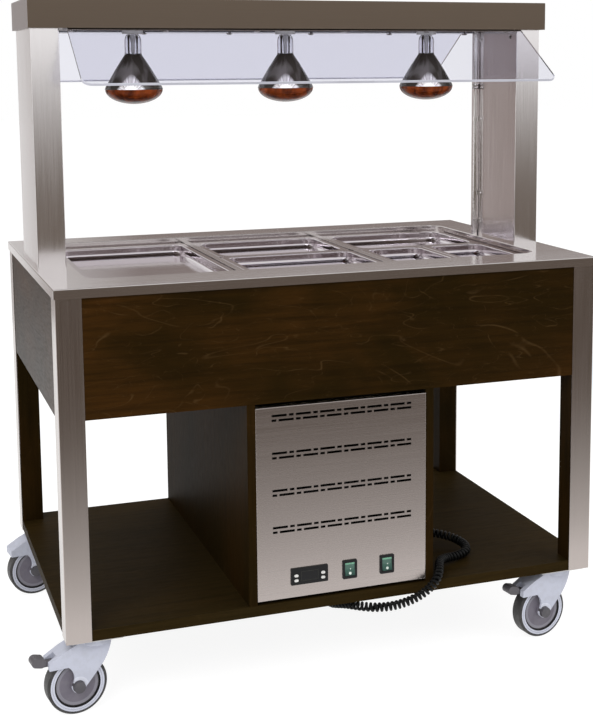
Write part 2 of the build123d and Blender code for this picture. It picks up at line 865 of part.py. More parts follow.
def fork_outline():
    """Side view of the fork: heel under the plate, eye round the axle, nose over the wheel."""
    top = plate_bottom - fork_side_gap
    eye = (caster_trail, axle_z)
    nose_u = caster_trail + axle_z - nose_tip_inset
    nose_low = wheel_diameter - nose_tip_drop[0]
    nose_high = wheel_diameter - nose_tip_drop[1]
    root = (eye[0] + nose_root, nose_low - seat_gap)
    heel = (-fork_heel, top)
    back = (fork_back[0], top - fork_back[1])
    elbow = (fork_elbow[0], top - fork_elbow[1])
    lean = math.atan2(eye[1] - elbow[1], eye[0] - elbow[0]) - math.pi / 2
    foot = (eye[0] + fork_eye * math.cos(lean), eye[1] + fork_eye * math.sin(lean))
    side = (eye[0] + fork_eye, eye[1])
    low = (eye[0] + fork_eye * math.cos(lean / 2), eye[1] + fork_eye * math.sin(lean / 2))
    waist = (eye[0] + fork_waist[0], eye[1] + fork_waist[1])
    nose = [root, (nose_u, nose_low), (nose_u, nose_high)]
    shoulder = (eye[0] + fork_shoulder[0], wheel_diameter + fork_shoulder[1])
    crest = (fork_heel, top)

    def at(point):
        return (point[0], 0, point[1])

    return make_face([
        ThreePointArc(at(heel), at(back), at(elbow)),
        Line(at(elbow), at(foot)),
        ThreePointArc(at(foot), at(low), at(side)),
        ThreePointArc(at(side), at(waist), at(root)),
        Polyline([at(point) for point in nose + [shoulder, crest, heel]]),
    ])


def fork(braked):
    """Caster fork with its axle, slotted at the nose where it carries a pedal."""
    axle = (caster_trail, axle_z)
    half = fork_outer / 2
    top = plate_bottom - fork_side_gap
    body = extrude(fork_outline(), amount=half, dir=(0, 1, 0), both=True)
    body += rod((0, 0, top - swivel_head_height), (0, 0, top), swivel_head / 2)
    slot = fork_slot / 2
    body -= rod((axle[0], -slot, axle[1]), (axle[0], slot, axle[1]), axle_z + fork_wheel_gap)
    pin_room = kingpin_length + kingpin_floor
    body -= rod((0, 0, plate_bottom - pin_room), (0, 0, plate_bottom), kingpin / 2 + kingpin_play)
    body -= rod((axle[0], -half, axle[1]), (axle[0], half, axle[1]), axle_diameter / 2 + axle_play)
    if braked:
        pivot = from_wheel(pedal_pivot)
        arm = pedal_arm / 2 + pedal_arm_play
        open_u = (pivot[0] - pedal_arm_height / 2 - pedal_arm_tail, caster_trail + wheel_diameter)
        body -= block(open_u, (-arm, arm), (axle_z, plate_bottom))
        reach = arm + pedal_pin_bite
        body -= rod((pivot[0], -reach, pivot[1]), (pivot[0], reach, pivot[1]), pedal_pin / 2 + pivot_play)
    bolt = rod((axle[0], -half, axle[1]), (axle[0], half, axle[1]), axle_diameter / 2)
    for side in (-1, 1):
        end = (axle[0], side * (half + axle_cap_height), axle[1])
        bolt += rod((axle[0], side * half, axle[1]), end, axle_cap / 2)
    return [body, bolt]


def wheel_ring(points):
    """Ring turned about the axle from its section, points of radius and width."""
    section = make_face(Polyline([(radius, width, 0) for radius, width in points], close=True))
    return Pos(caster_trail, 0, axle_z) * revolve(section, Axis.Y)


def wheel():
    """Moulded core with a hub, a disc and a grooved rim, and the tyre round it."""
    bore = axle_diameter / 2 + axle_play
    tread = axle_z - tyre_depth
    rim = tread - rim_depth
    half = [(bore, fork_slot / 2 - fork_side_gap), (hub_radius, fork_slot / 2 - fork_side_gap)]
    half += [(hub_radius, disc_width / 2), (rim - groove_width, disc_width / 2)]
    half += [(rim - groove_width, disc_width / 2 - groove_depth), (rim, disc_width / 2 - groove_depth)]
    half += [(rim, wheel_width / 2 - rim_recess), (tread, wheel_width / 2 - rim_recess)]
    core = wheel_ring(half + [(radius, -width) for radius, width in reversed(half)])
    side = wheel_width / 2
    corners = [(tread, -side), (axle_z - tyre_edge, -side), (axle_z, tyre_edge - side)]
    tyre = wheel_ring(corners + [(radius, -width) for radius, width in reversed(corners)])
    return [core, tyre]


def pedal():
    """Brake pedal: a rounded block before the nose on an arm with its pivot pin."""
    pivot = from_wheel(pedal_pivot)
    near = from_wheel(pedal_bar_near)
    far = from_wheel(pedal_bar_far)
    half = pedal_bar_width / 2
    lean = math.degrees(math.atan2(far[1] - near[1], far[0] - near[0]))
    bar = SlotCenterToCenter(math.dist(near, far), pedal_bar, rotation=lean)
    outline = Plane.XZ * Pos((near[0] + far[0]) / 2, (near[1] + far[1]) / 2) * bar
    body = extrude(outline, amount=half, dir=(0, 1, 0), both=True)
    arm_z = (pivot[1] - pedal_arm_height / 2, pivot[1] + pedal_arm_height / 2)
    body += block((pivot[0] - pedal_arm_height / 2, near[0]), (-pedal_arm / 2, pedal_arm / 2), arm_z)
    reach = pedal_arm / 2 + pedal_pin_bite
    return body + rod((pivot[0], -reach, pivot[1]), (pivot[0], reach, pivot[1]), pedal_pin / 2)


def condenser():
    """Finned block on the shelf behind the front panel."""
    x = (bay_centre - condenser_length / 2, bay_centre + condenser_length / 2)
    y = (condenser_y - condenser_depth / 2, condenser_y + condenser_depth / 2)
    z = (shelf_top, shelf_top + condenser_height)
    body = block(x, y, z)
    pitch = (condenser_length - condenser_rail) / condenser_fins
    slots = []
    for fin in range(condenser_fins):
        left = x[0] + condenser_rail + fin * pitch
        slot_z = (z[0] + condenser_rail, z[1] - condenser_rail)
        slots.append(block((left, left + pitch / 2), (y[0], y[0] + condenser_fin_depth), slot_z))
    return body - slots


def fan_place():
    """Middle of the fan's plate, against the condenser's rear face."""
    return bay_centre, condenser_y + condenser_depth / 2, shelf_top + condenser_height / 2


def along_y(start, end, radius):
    """Round bar along Y about the fan's axis."""
    return rod((0, start, 0), (0, end, 0), radius)


def fan_frame():
    """Fan plate with its ring, the arms that carry the motor, and the motor's shaft."""
    radius = fan_diameter / 2
    ring_end = fan_plate + fan_ring_length
    side = condenser_height / 2
    frame = block((-side, side), (0, fan_plate), (-side, side))
    frame += along_y(fan_plate, ring_end, radius + fan_ring_wall)
    frame -= along_y(0, ring_end, radius)
    arms = (ring_end, ring_end + fan_plate)
    frame += block((-radius - fan_ring_wall, radius + fan_ring_wall), arms, (-fan_arm / 2, fan_arm / 2))
    frame += block((-fan_arm / 2, fan_arm / 2), arms, (-radius - fan_ring_wall, radius + fan_ring_wall))
    frame += along_y(ring_end, ring_end + fan_motor_length, fan_motor / 2)
    frame += along_y(fan_plate, ring_end, fan_shaft / 2)
    return Pos(*fan_place()) * frame


def fan_rotor():
    """Hub and pitched blades on the motor's shaft."""
    start = fan_plate + fan_ring_length - seat_gap - fan_hub_length
    end = start + fan_hub_length
    tip = fan_diameter / 2 - fan_tip_gap
    rotor = along_y(start, end, fan_hub / 2)
    root = fan_hub / 2 - fan_blade_bite
    blade = Box(tip - root, fan_blade_thick, fan_blade_width)
    blade = Pos((root + tip) / 2, 0, 0) * Rot(fan_blade_pitch, 0, 0) * blade
    middle = (start + end) / 2
    for turn in range(fan_blades):
        rotor += Pos(0, middle, 0) * Rot(0, turn * 360 / fan_blades, 0) * blade
    rotor &= along_y(start, end, tip)
    rotor -= along_y(start, end, fan_shaft / 2 + axle_play)
    return Pos(*fan_place()) * rotor


def compressor():
    """Domed can on a base plate with four feet."""
    length, width, thick = compressor_base
    base = shelf_top + compressor_foot_height
    can = rod((0, 0, base + thick), (0, 0, base + thick + compressor_height), compressor_diameter / 2)
    can = fillet(can.edges().group_by(Axis.Z)[-1], compressor_dome)
    can += mid_block(length / 2, width / 2, (base, base + thick))
    for x in (-1, 1):
        for y in (-1, 1):
            foot = (x * (length - compressor_foot) / 2, y * (width - compressor_foot) / 2)
            can += rod((*foot, shelf_top), (*foot, base), compressor_foot / 2)
    return Pos(compressor_x, compressor_y, 0) * can


def cord_gland():
    """Strain relief on the right divider: a round nut and a taper down to the cord."""
    wall = bay_right + divider_thick
    profile = Polyline(
        (wall, 0), (wall, gland_diameter / 2), (wall + gland_flange, gland_diameter / 2),
        (wall + gland_length, gland_tip / 2), (wall + gland_length, 0), close=True,
    )
    return Pos(0, *gland_place) * revolve(make_face(profile), Axis.X)


def plug_axis_z():
    """Height of the parked plug's axis."""
    return caster_height - plug_axis_drop


def plug_front_y():
    """Plane where the parked plug meets its holder."""
    return plug_rear_y + plug_length


def plug_pins(grow, length):
    """Two pins forward from the plug's front face."""
    pins = []
    for side in (-1, 1):
        x = plug_x + side * plug_pin_spacing / 2
        start = (x, plug_front_y(), plug_axis_z())
        pins.append(rod(start, (x, plug_front_y() + length, plug_axis_z()), plug_pin / 2 + grow))
    return pins


def plug():
    """Round mains plug with a neck at the rear and two pins."""
    def at(y):
        return (plug_x, y, plug_axis_z())

    body = rod(at(plug_rear_y), at(plug_front_y()), plug_diameter / 2)
    body = fillet(body.edges().group_by(Axis.Y)[0], plug_diameter / 6)
    body += rod(at(plug_rear_y - plug_neck_length), at(plug_rear_y + plug_neck), plug_neck / 2)
    return body + plug_pins(0, plug_pin_length)


def plug_holder():
    """Block under the shelf with blind holes that park the plug."""
    x = (plug_x - holder_width / 2, plug_x + holder_width / 2)
    y = (plug_front_y(), plug_front_y() + holder_length)
    holder = block(x, y, (caster_height - holder_drop, caster_height))
    return holder - plug_pins(plug_pin_play, plug_pin_length + plug_pin_play)


def cord_ends():
    """Points where the wire meets the gland and the plug."""
    start = Vector(bay_right + divider_thick + gland_length, *gland_place)
    return start, Vector(plug_x, plug_rear_y - plug_neck_length, plug_axis_z())


def cord_axis():
    """Middle line of the curls, straight runs joined by arcs as large as the runs allow.

    Both ends lie a curl's radius under the straight ends of the wire.
    """
    down = Vector(0, 0, -coil_radius)
    start, end = [point + down for point in cord_ends()]
    lead = start + Vector(cord_stub, 0, 0)
    tail = end - Vector(0, cord_stub, 0)
    points = [start, lead, *[Vector(*point) for point in cord_route], tail, end]
    radii = []
    for before, corner, after in zip(points, points[1:], points[2:]):
        turn = (corner - before).get_angle(after - corner)
        shorter = min((corner - before).length, (after - corner).length)
        radii.append(0.45 * shorter / math.tan(math.radians(turn) / 2))
    print("cord axis radii", [round(radius) for radius in radii])
    return FilletPolyline(*points, radius=radii)


def cord_frames(axis):
    """Points along the axis where curls are drawn, each with its forward, side and across directions."""
    coiled = axis.length - 2 * wire
    count = coil_steps * round((coiled - 2 * coil_lead) / coil_pitch)
    step = (coiled - 2 * coil_lead) / count
    places = [wire] + [wire + coil_lead + index * step for index in range(count + 1)] + [axis.length - wire]
    side = Vector(0, 0, 1)
    frames = []
    for place in places:
        forward = axis.tangent_at(place / axis.length)
        side = (side - forward * side.dot(forward)).normalized()
        frames.append((axis.position_at(place / axis.length), forward, side, forward.cross(side)))
    return frames, step


def cord_stations():
    """Points and directions of the wire about every quarter turn, level with the axis at its ends."""
    axis = cord_axis()
    frames, step = cord_frames(axis)
    last_side, last_across = frames[-1][2:]
    left_over = math.atan2(last_across.Z, last_side.Z)
    steps = len(frames) - 1
    whole = round(steps / coil_steps - left_over / math.tau)
    turn = (math.tau * whole + left_over) / steps
    stations = []
    for index, (middle, forward, side, across) in enumerate(frames):
        angle = index * turn
        out = side * math.cos(angle) + across * math.sin(angle)
        onward = across * math.cos(angle) - side * math.sin(angle)
        heading = forward + onward * (coil_radius * turn / step)
        if index in (0, steps):
            heading = forward
        stations.append((middle + out * coil_radius, heading.normalized()))
    return stations, steps * turn / math.tau


def biarc(start, heading, end, leaving):
    """Two arcs that join two points with the given directions."""
    chord = end - start
    both = heading + leaving
    spread = 2 * (1 - heading.dot(leaving))
    along = chord.dot(both)
    reach = chord.dot(chord) / (2 * along)
    if spread > 1e-9:
        reach = (math.sqrt(along * along + spread * chord.dot(chord)) - along) / spread
    joint = (start + end + (heading - leaving) * reach) * 0.5
    middle = (end - leaving * reach - start - heading * reach).normalized()
    return [(start, heading, joint), (joint, middle, end)]


def arc_radius(start, heading, end):
    """Radius of the arc from a point in a direction to another point."""
    chord = end - start
    return chord.length / (2 * math.sin(math.radians(heading.get_angle(chord))))


def cord_gap(edges):
    """Least gap between two stretches of the cord that are over three wires apart along it."""
    spots = []
    run = 0.0
    for edge in edges:
        for share in (0, 0.25, 0.5, 0.75):
            point = edge.position_at(share)
            spots.append((run + share * edge.length, (point.X, point.Y, point.Z)))
        run += edge.length
    least = coil_pitch
    for index, (place, spot) in enumerate(spots):
        apart = (math.dist(spot, other) for far, other in spots[index:] if far - place > 3 * wire)
        least = min(least, min(apart, default=least))
    return least - wire


def curly_cord():
    """One unbroken wire: a straight end, the curls along the axis, and a straight end."""
    first, last = cord_ends()
    stations, turns = cord_stations()
    arcs = []
    for (start, heading), (end, leaving) in zip(stations, stations[1:]):
        arcs += biarc(start, heading, end, leaving)
    edges = [Edge.make_line(first, stations[0][0])]
    edges += [Edge.make_tangent_arc(start, heading, end) for start, heading, end in arcs]
    edges.append(Edge.make_line(stations[-1][0], last))
    tightest = min(arc_radius(*arc) for arc in arcs)
    length = sum(edge.length for edge in edges)
    print(f"cord curls {turns:.1f}, wire length {length:.0f}")
    print(f"cord tightest arc {tightest:.2f}, self gap {cord_gap(edges):.2f}")
    cord = sweep(Plane(origin=first, z_dir=(1, 0, 0)) * Circle(wire / 2), Wire(edges))
    print(f"cord volume {cord.volume:.0f}, section times length {math.pi * wire**2 / 4 * length:.0f}")
    return cord


def build():
    """Make every piece and write it to its node's file."""
    os.makedirs("parts", exist_ok=True)
    save("top_plate", top_plate())
    save("well_tank", well_tank())
    save("well_insulation", well_insulation())
    save("evaporator_coil", evaporator_coil())
    save("well_crossbars", *[well_crossbar(side * pan_pitch / 2) for side in (-1, 1)])
    for node, pan in food_pans().items():
        save(node, pan)
    save("leg_angles", *at_corners(leg_angle()))
    save("corner_posts", *at_corners(corner_post()))
    for name, side in (("front", -1), ("rear", 1)):
        save(f"apron_{name}", long_apron(side))
    for name, side in (("left", -1), ("right", 1)):
        save(f"apron_{name}", end_apron(side))
        save(f"column_{name}", column(side))
    save("base_shelf", base_shelf())
    save("dividers", divider(-1), divider(1))
    save("front_service_panel", front_service_panel())
    save("rear_service_panel", mirror(service_panel(), Plane.XZ))
    save("thermostat_case", thermostat_case())
    save("thermostat_lens", thermostat_lens())
    for name, place in zip(("up_left", "up_right", "down_left", "down_right"), key_places()):
        save(f"key_{name}", key(place))
    save("rocker_frames", *[rocker_frame(x) for x in rocker_x])
    for name, x in zip(("cooling", "lamps"), rocker_x):
        save(f"rocker_{name}", rocker(x))
    save("canopy_shell", canopy_shell())
    save("canopy_base", canopy_base())
    guard = glass_rear()
    save("glass_rear", guard)
    save("glass_front", mirror(guard, Plane.XZ))
    save("glass_screws", *[glass_screw(x, y) for x, y in screw_places()])
    save("lamp_sockets", *[lamp_socket(x) for x in lamp_places()])
    save("lamp_bulbs", *[solid for x in lamp_places() for solid in lamp_bulb(x)])
    save("conduit", conduit())
    save("conduit_clips", *[solid for height in clip_places() for solid in conduit_clip(height)])
    save("caster_plates", *[caster_plate(place) for place in caster_places().values()])
    for name, place in caster_places().items():
        braked = name.startswith("front")
        save(f"fork_{name}", *[at_caster(place, piece) for piece in fork(braked)])
        save(f"wheel_{name}", *[at_caster(place, piece) for piece in wheel()])
        if braked:
            save(f"pedal_{name}", at_caster(place, pedal()))
    save("condenser", condenser())
    save("fan_frame", fan_frame())
    save("fan_rotor", fan_rotor())
    save("compressor", compressor())
    save("cord_gland", cord_gland())
    save("plug", plug())
    save("plug_holder", plug_holder())
    save("curly_cord", curly_cord())


if __name__ == "__main__":
    build()
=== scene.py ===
"""Mobile buffet counter: finishes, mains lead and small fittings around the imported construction.

Metres, +Z up, front at -Y, +X to the right seen from the front, origin on the floor under the
worktop.
"""
import json
import logging
import math
from collections.abc import Callable
from dataclasses import dataclass
from enum import Enum
from typing import Protocol

import bpy
from mathutils import Euler, Matrix, Vector


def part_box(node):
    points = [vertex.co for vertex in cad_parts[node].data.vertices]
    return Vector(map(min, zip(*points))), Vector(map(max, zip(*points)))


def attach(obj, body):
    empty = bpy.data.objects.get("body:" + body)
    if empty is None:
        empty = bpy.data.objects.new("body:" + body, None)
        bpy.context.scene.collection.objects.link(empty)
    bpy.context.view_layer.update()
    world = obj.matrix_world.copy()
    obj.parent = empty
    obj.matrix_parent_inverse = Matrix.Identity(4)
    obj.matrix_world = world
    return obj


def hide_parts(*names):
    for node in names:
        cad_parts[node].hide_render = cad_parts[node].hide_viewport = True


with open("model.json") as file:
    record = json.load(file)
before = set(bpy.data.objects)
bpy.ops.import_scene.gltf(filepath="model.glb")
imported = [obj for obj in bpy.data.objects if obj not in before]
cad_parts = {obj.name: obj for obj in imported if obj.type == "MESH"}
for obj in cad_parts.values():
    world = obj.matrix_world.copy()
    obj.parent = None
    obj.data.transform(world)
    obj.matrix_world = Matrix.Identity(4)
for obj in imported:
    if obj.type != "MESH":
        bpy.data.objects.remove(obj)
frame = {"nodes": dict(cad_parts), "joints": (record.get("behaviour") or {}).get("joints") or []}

log = logging.getLogger("buffet_counter")
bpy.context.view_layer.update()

Pair = tuple[float, float]
Point = tuple[float, float, float]
Colour = tuple[float, float, float]
Profile = tuple[Pair, ...]
Bands = tuple[tuple[float, Colour], ...]
Socket = bpy.types.NodeSocket

WHITE: Colour = (1.0, 1.0, 1.0)
BULK: Pair = (0.3, 0.7)  # Most values of a noise lie in this range.
SMOOTH = math.radians(35)  # Edges flatter than this are shaded smooth.
ROCKERS = ("rocker_cooling", "rocker_lamps")


class Grain(Enum):
    """Axis that a brushed or sawn surface runs along."""

    LENGTH = (1.0, 0.0, 0.0)
    DEPTH = (0.0, 1.0, 0.0)
    HEIGHT = (0.0, 0.0, 1.0)

    def stretch(self, along: float, across: float) -> Point:
        """Counts per metre on each axis, few along the grain and many across it.

        Args:
            along: Counts per metre along the grain.
            across: Counts per metre across the grain.

        Returns:
            The scale for a Mapping node.
        """
        return tuple(along if part else across for part in self.value)


class Graph:
    """Node tree, with short calls that add and join nodes."""

    def __init__(self, tree: bpy.types.NodeTree) -> None:
        """Take up a node tree.

        Args:
            tree: The tree.
        """
        self.tree = tree

    def add(self, kind: str, sockets: dict | None = None, **settings) -> bpy.types.Node:
        """Add a node.

        Args:
            kind: The node's type name.
            sockets: Values, or output sockets to join, for inputs by name or index.
            settings: Properties of the node itself.

        Returns:
            The new node.
        """
        node = self.tree.nodes.new(kind)
        for setting, value in settings.items():
            setattr(node, setting, value)
        for key, value in (sockets or {}).items():
            self.put(node.inputs[key], value)
        return node

    def put(self, socket: Socket, value: object) -> None:
        """Set an input's value, or join an output to it.

        Args:
            socket: The input.
            value: A number, a colour of three parts, a vector or an output socket.
        """
        if isinstance(value, Socket):
            self.tree.links.new(value, socket)
        elif socket.type == "RGBA":
            socket.default_value = (*value, 1.0)
        else:
            socket.default_value = value

    def place(self, scale: Point = (1.0, 1.0, 1.0)) -> Socket:
        """Object coordinates times a scale.

        Args:
            scale: Counts per metre on each axis.

        Returns:
            The vector output.
        """
        where = self.add("ShaderNodeTexCoord").outputs["Object"]
        mapping = self.add("ShaderNodeMapping", {"Vector": where, "Scale": scale})
        return mapping.outputs["Vector"]

    def local(self, origin: Point, turn: Point) -> Socket:
        """Object coordinates seen from a piece's own origin and turn.

        Args:
            origin: The piece's middle.
            turn: Its Euler angles in radians.

        Returns:
            The vector output.
        """
        where = self.add("ShaderNodeTexCoord").outputs["Object"]
        sockets = {"Vector": where, "Location": origin, "Rotation": turn}
        return self.add("ShaderNodeMapping", sockets, vector_type="TEXTURE").outputs["Vector"]

    def noise(self, vector: Socket, scale: float = 1.0, detail: float = 3.0, rough: float = 0.5,
              swirl: float = 0.0) -> Socket:
        """Noise value along a vector.

        Args:
            vector: Where it is read.
            scale: Counts per unit of the vector.
            detail: Octaves.
            rough: Weight of the fine octaves.
            swirl: Distortion.

        Returns:
            The value output, mostly in the BULK range.
        """
        sockets = {"Vector": vector, "Scale": scale, "Detail": detail, "Roughness": rough,
                   "Distortion": swirl}
        return self.add("ShaderNodeTexNoise", sockets).outputs["Fac"]

    def spread(self, value: Socket, source: Pair, target: Pair = (0.0, 1.0)) -> Socket:
        """Map a value from one range to another and clamp it.

        Args:
            value: The value.
            source: Its low and high ends.
            target: What they become.

        Returns:
            The mapped value.
        """
        sockets = dict(enumerate((value, *source, *target)))
        return self.add("ShaderNodeMapRange", sockets).outputs[0]

    def reckon(self, kind: str, *terms: object) -> Socket:
        """Work out one arithmetic step.

        Args:
            kind: The Math node's operation.
            terms: Numbers or value outputs.

        Returns:
            The result.
        """
        return self.add("ShaderNodeMath", dict(enumerate(terms)), operation=kind).outputs[0]

    def split(self, vector: Socket) -> tuple[Socket, ...]:
        """Split a vector into its X, Y and Z.

        Args:
            vector: The vector output.

        Returns:
            The three value outputs.
        """
        return tuple(self.add("ShaderNodeSeparateXYZ", {0: vector}).outputs)

    def join(self, *parts: Socket) -> Socket:
        """Make a vector of its X, and its Y and Z where they are given.

        Args:
            parts: The value outputs.

        Returns:
            The vector output.
        """
        return self.add("ShaderNodeCombineXYZ", dict(enumerate(parts))).outputs[0]

    def mix(self, share: object, first: object, second: object) -> Socket:
        """Blend two colours.

        Args:
            share: How much of the second, 0 to 1.
            first: A colour or a colour output.
            second: A colour or a colour output.

        Returns:
            The blended colour.
        """
        node = self.add("ShaderNodeMix", data_type="RGBA")
        for index, value in ((0, share), (6, first), (7, second)):
            self.put(node.inputs[index], value)
        return node.outputs[2]

    def steps(self, value: Socket, stops: Bands, sharp: bool = False) -> Socket:
        """Colour by value.

        Args:
            value: The value, 0 to 1.
            stops: Positions and their colours, in order.
            sharp: Whether a colour holds up to the next stop.

        Returns:
            The colour.
        """
        node = self.add("ShaderNodeValToRGB", {"Fac": value})
        node.color_ramp.interpolation = "CONSTANT" if sharp else "LINEAR"
        elements = node.color_ramp.elements
        while len(elements) < len(stops):
            elements.new(1.0)
        for element, (position, colour) in zip(elements, stops):
            element.position = position
            element.color = (*colour, 1.0)
        return node.outputs["Color"]


class Coating(Graph):
    """Node tree of one material, with its shader and its output."""

    def __init__(self, name: str) -> None:
        """Start a material.

        Args:
            name: The material's name.
        """
        self.material = bpy.data.materials.new(name)
        self.material.use_nodes = True
        super().__init__(self.material.node_tree)
        self.shader = self.tree.nodes["Principled BSDF"]
        self.output = self.tree.nodes["Material Output"]

    def dress(self, **values: object) -> None:
        """Set or join inputs of the shader, given by names with underscores for spaces.

        Args:
            values: Values or output sockets.
        """
        names = {one.name.lower(): one.name for one in self.shader.inputs}
        for name, value in values.items():
            self.put(self.shader.inputs[names[name.replace("_", " ")]], value)

    def bump(self, height: Socket, strength: float, depth: float) -> None:
        """Give the shader a bump.

        Args:
            height: The height value.
            strength: Share of the bump, 0 to 1.
            depth: Depth in metres.
        """
        sockets = {"Height": height, "Strength": strength, "Distance": depth}
        bump = self.add("ShaderNodeBump", sockets)
        self.put(self.shader.inputs["Normal"], bump.outputs["Normal"])

    def blend(self, share: Socket, first: bpy.types.Node, second: bpy.types.Node) -> None:
        """End the tree in a blend of two shaders.

        Args:
            share: How much of the second, 0 to 1.
            first: A shader node.
            second: A shader node.
        """
        sockets = {0: share, 1: first.outputs[0], 2: second.outputs[0]}
        blended = self.add("ShaderNodeMixShader", sockets)
        self.put(self.output.inputs["Surface"], blended.outputs[0])


def shade(colour: Colour, factor: float) -> Colour:
    """A colour made lighter or darker.

    Args:
        colour: The colour.
        factor: What each part is multiplied by.

    Returns:
        The new colour.
    """
    return tuple(min(part * factor, 1.0) for part in colour)


class Finish(Protocol):
    """Look of a surface."""

    def material(self) -> bpy.types.Material:
        """Make the material."""


@dataclass(frozen=True)
class BrushedSteel:
    """Sheet steel with a brushed grain, faint clouds and fine scratches."""

    name: str
    grain: Grain
    colour: Colour
    roughness: float
    streak: float = 0.035
    depth: float = 0.00004
    # Lighter colour of the folded ends, where the main colour is darkened as painted shade.
    end: Colour | None = None
    end_x: float = 0.0
    fine: Pair = (5.0, 900.0)
    broad: Pair = (1.4, 130.0)
    fine_share: float = 0.85
    cloud_scale: float = 6.0
    clouded: float = 0.12
    cloud_tone: float = 0.8
    uneven: float = 0.05
    relief: float = 0.22

    def material(self) -> bpy.types.Material:
        """Make the material.

        Returns:
            Steel with streaks along the grain, and the lighter end colour on the folded ends past
            end_x, where the main colour is darkened as painted shade.
        """
        graph = Coating(self.name)
        fine = graph.noise(graph.place(self.grain.stretch(*self.fine)), detail=2.0)
        broad = graph.noise(graph.place(self.grain.stretch(*self.broad)), rough=0.6)
        clouds = graph.noise(graph.place(), self.cloud_scale, rough=0.6)
        lines = graph.reckon("ADD", graph.reckon("MULTIPLY", fine, self.fine_share),
                             graph.reckon("MULTIPLY", broad, 1 - self.fine_share))
        light, dark = shade(self.colour, 1 + self.streak), shade(self.colour, 1 - self.streak)
        brushed = graph.mix(graph.spread(lines, (0.35, 0.65)), dark, light)
        cloud = graph.spread(clouds, (0.4, 0.75), (0.0, self.clouded))
        toned = graph.mix(cloud, brushed, shade(self.colour, self.cloud_tone))
        if self.end:
            x = graph.reckon("ABSOLUTE", graph.split(graph.place())[0])
            toned = graph.mix(graph.reckon("GREATER_THAN", x, self.end_x), toned, self.end)
        rough = (self.roughness - self.uneven, self.roughness + self.uneven)
        graph.dress(base_color=toned, metallic=1.0, roughness=graph.spread(lines, BULK, rough))
        graph.bump(lines, self.relief, self.depth)
        return graph.material


@dataclass(frozen=True)
class StainedVeneer:
    """Dark stained veneer: warm patches, streaks, fine pale veins and pores under thin lacquer."""

    name: str
    grain: Grain
    ground: Colour = (0.0165, 0.0085, 0.0012)
    heart: Colour = (0.044, 0.0175, 0.0030)
    figure: Colour = (0.135, 0.078, 0.032)
    roughness: float = 0.46
    gloss: float = 0.03
    veined: float = 1.0
    patch: Pair = (2.4, 4.4)
    streak: Pair = (4.0, 75.0)
    pore: Pair = (38.0, 850.0)
    vein_sets: Profile = ((1.0, 0.36), (2.1, 0.30), (4.5, 0.22))
    vein_flow: Pair = (1.6, 4.6)
    vein_rings: float = 15.0
    vein_width: float = 0.06
    vein_gaps: float = 11.0
    pore_depth: float = 0.0001

    def veins(self, graph: Graph, scale: float) -> Socket:
        """Broken pale lines that wander along the grain.

        Args:
            graph: The veneer's node tree.
            scale: How many times finer than the broadest figure they are.

        Returns:
            Where a line shows, 0 to 1.
        """
        flow = self.grain.stretch(*(count * scale for count in self.vein_flow))
        flow = graph.noise(graph.place(flow), swirl=0.7)
        rings = graph.reckon("PINGPONG", graph.reckon("MULTIPLY", flow, self.vein_rings), 1.0)
        line = graph.spread(rings, (0.0, self.vein_width), (1.0, 0.0))
        broken = graph.noise(graph.place((1.0, 1.0, 1.6)), self.vein_gaps * scale, rough=0.6)
        return graph.reckon("MULTIPLY", line, graph.spread(broken, (0.42, 0.70)))

    def material(self) -> bpy.types.Material:
        """Make the material.

        Returns:
            Lacquered veneer with its grain on the given axis.
        """
        graph = Coating(self.name)
        stretch = self.grain.stretch
        patches = graph.noise(graph.place(stretch(*self.patch)), rough=0.55, swirl=0.4)
        streaks = graph.noise(graph.place(stretch(*self.streak)), detail=4.0, rough=0.62,
                              swirl=0.3)
        pores = graph.noise(graph.place(stretch(*self.pore)), detail=2.0)
        deep = shade(self.ground, 0.5)
        toned = graph.mix(graph.spread(patches, (0.36, 0.64)), self.ground, self.heart)
        toned = graph.mix(graph.spread(streaks, (0.42, 0.68), (0.0, 0.55)), toned, deep)
        for scale, strength in self.vein_sets:
            vein = graph.reckon("MULTIPLY", self.veins(graph, scale), strength * self.veined)
            toned = graph.mix(vein, toned, self.figure)
        pored = graph.mix(graph.spread(pores, (0.55, 0.75), (0.0, 0.45)), toned, deep)
        rough = graph.spread(pores, BULK, (self.roughness - 0.05, self.roughness + 0.1))
        graph.dress(base_color=pored, roughness=rough, specular_ior_level=self.gloss)
        graph.bump(pores, 0.3, self.pore_depth)
        return graph.material


@dataclass(frozen=True)
class GuardGlass:
    """Clear toughened pane with a faint cool tint."""

    name: str
    tint: Colour = (0.815, 0.815, 0.878)
    bend: float = 1.14
    haze: float = 0.03

    def material(self) -> bpy.types.Material:
        """Make the material.

        Returns:
            Clear glass with a very slight haze.
        """
        graph = Coating(self.name)
        haze = graph.spread(graph.noise(graph.place(), 8.0), (0.4, 0.8), (0.0, self.haze))
        graph.dress(base_color=self.tint, transmission_weight=1.0, ior=self.bend, roughness=haze)
        return graph.material


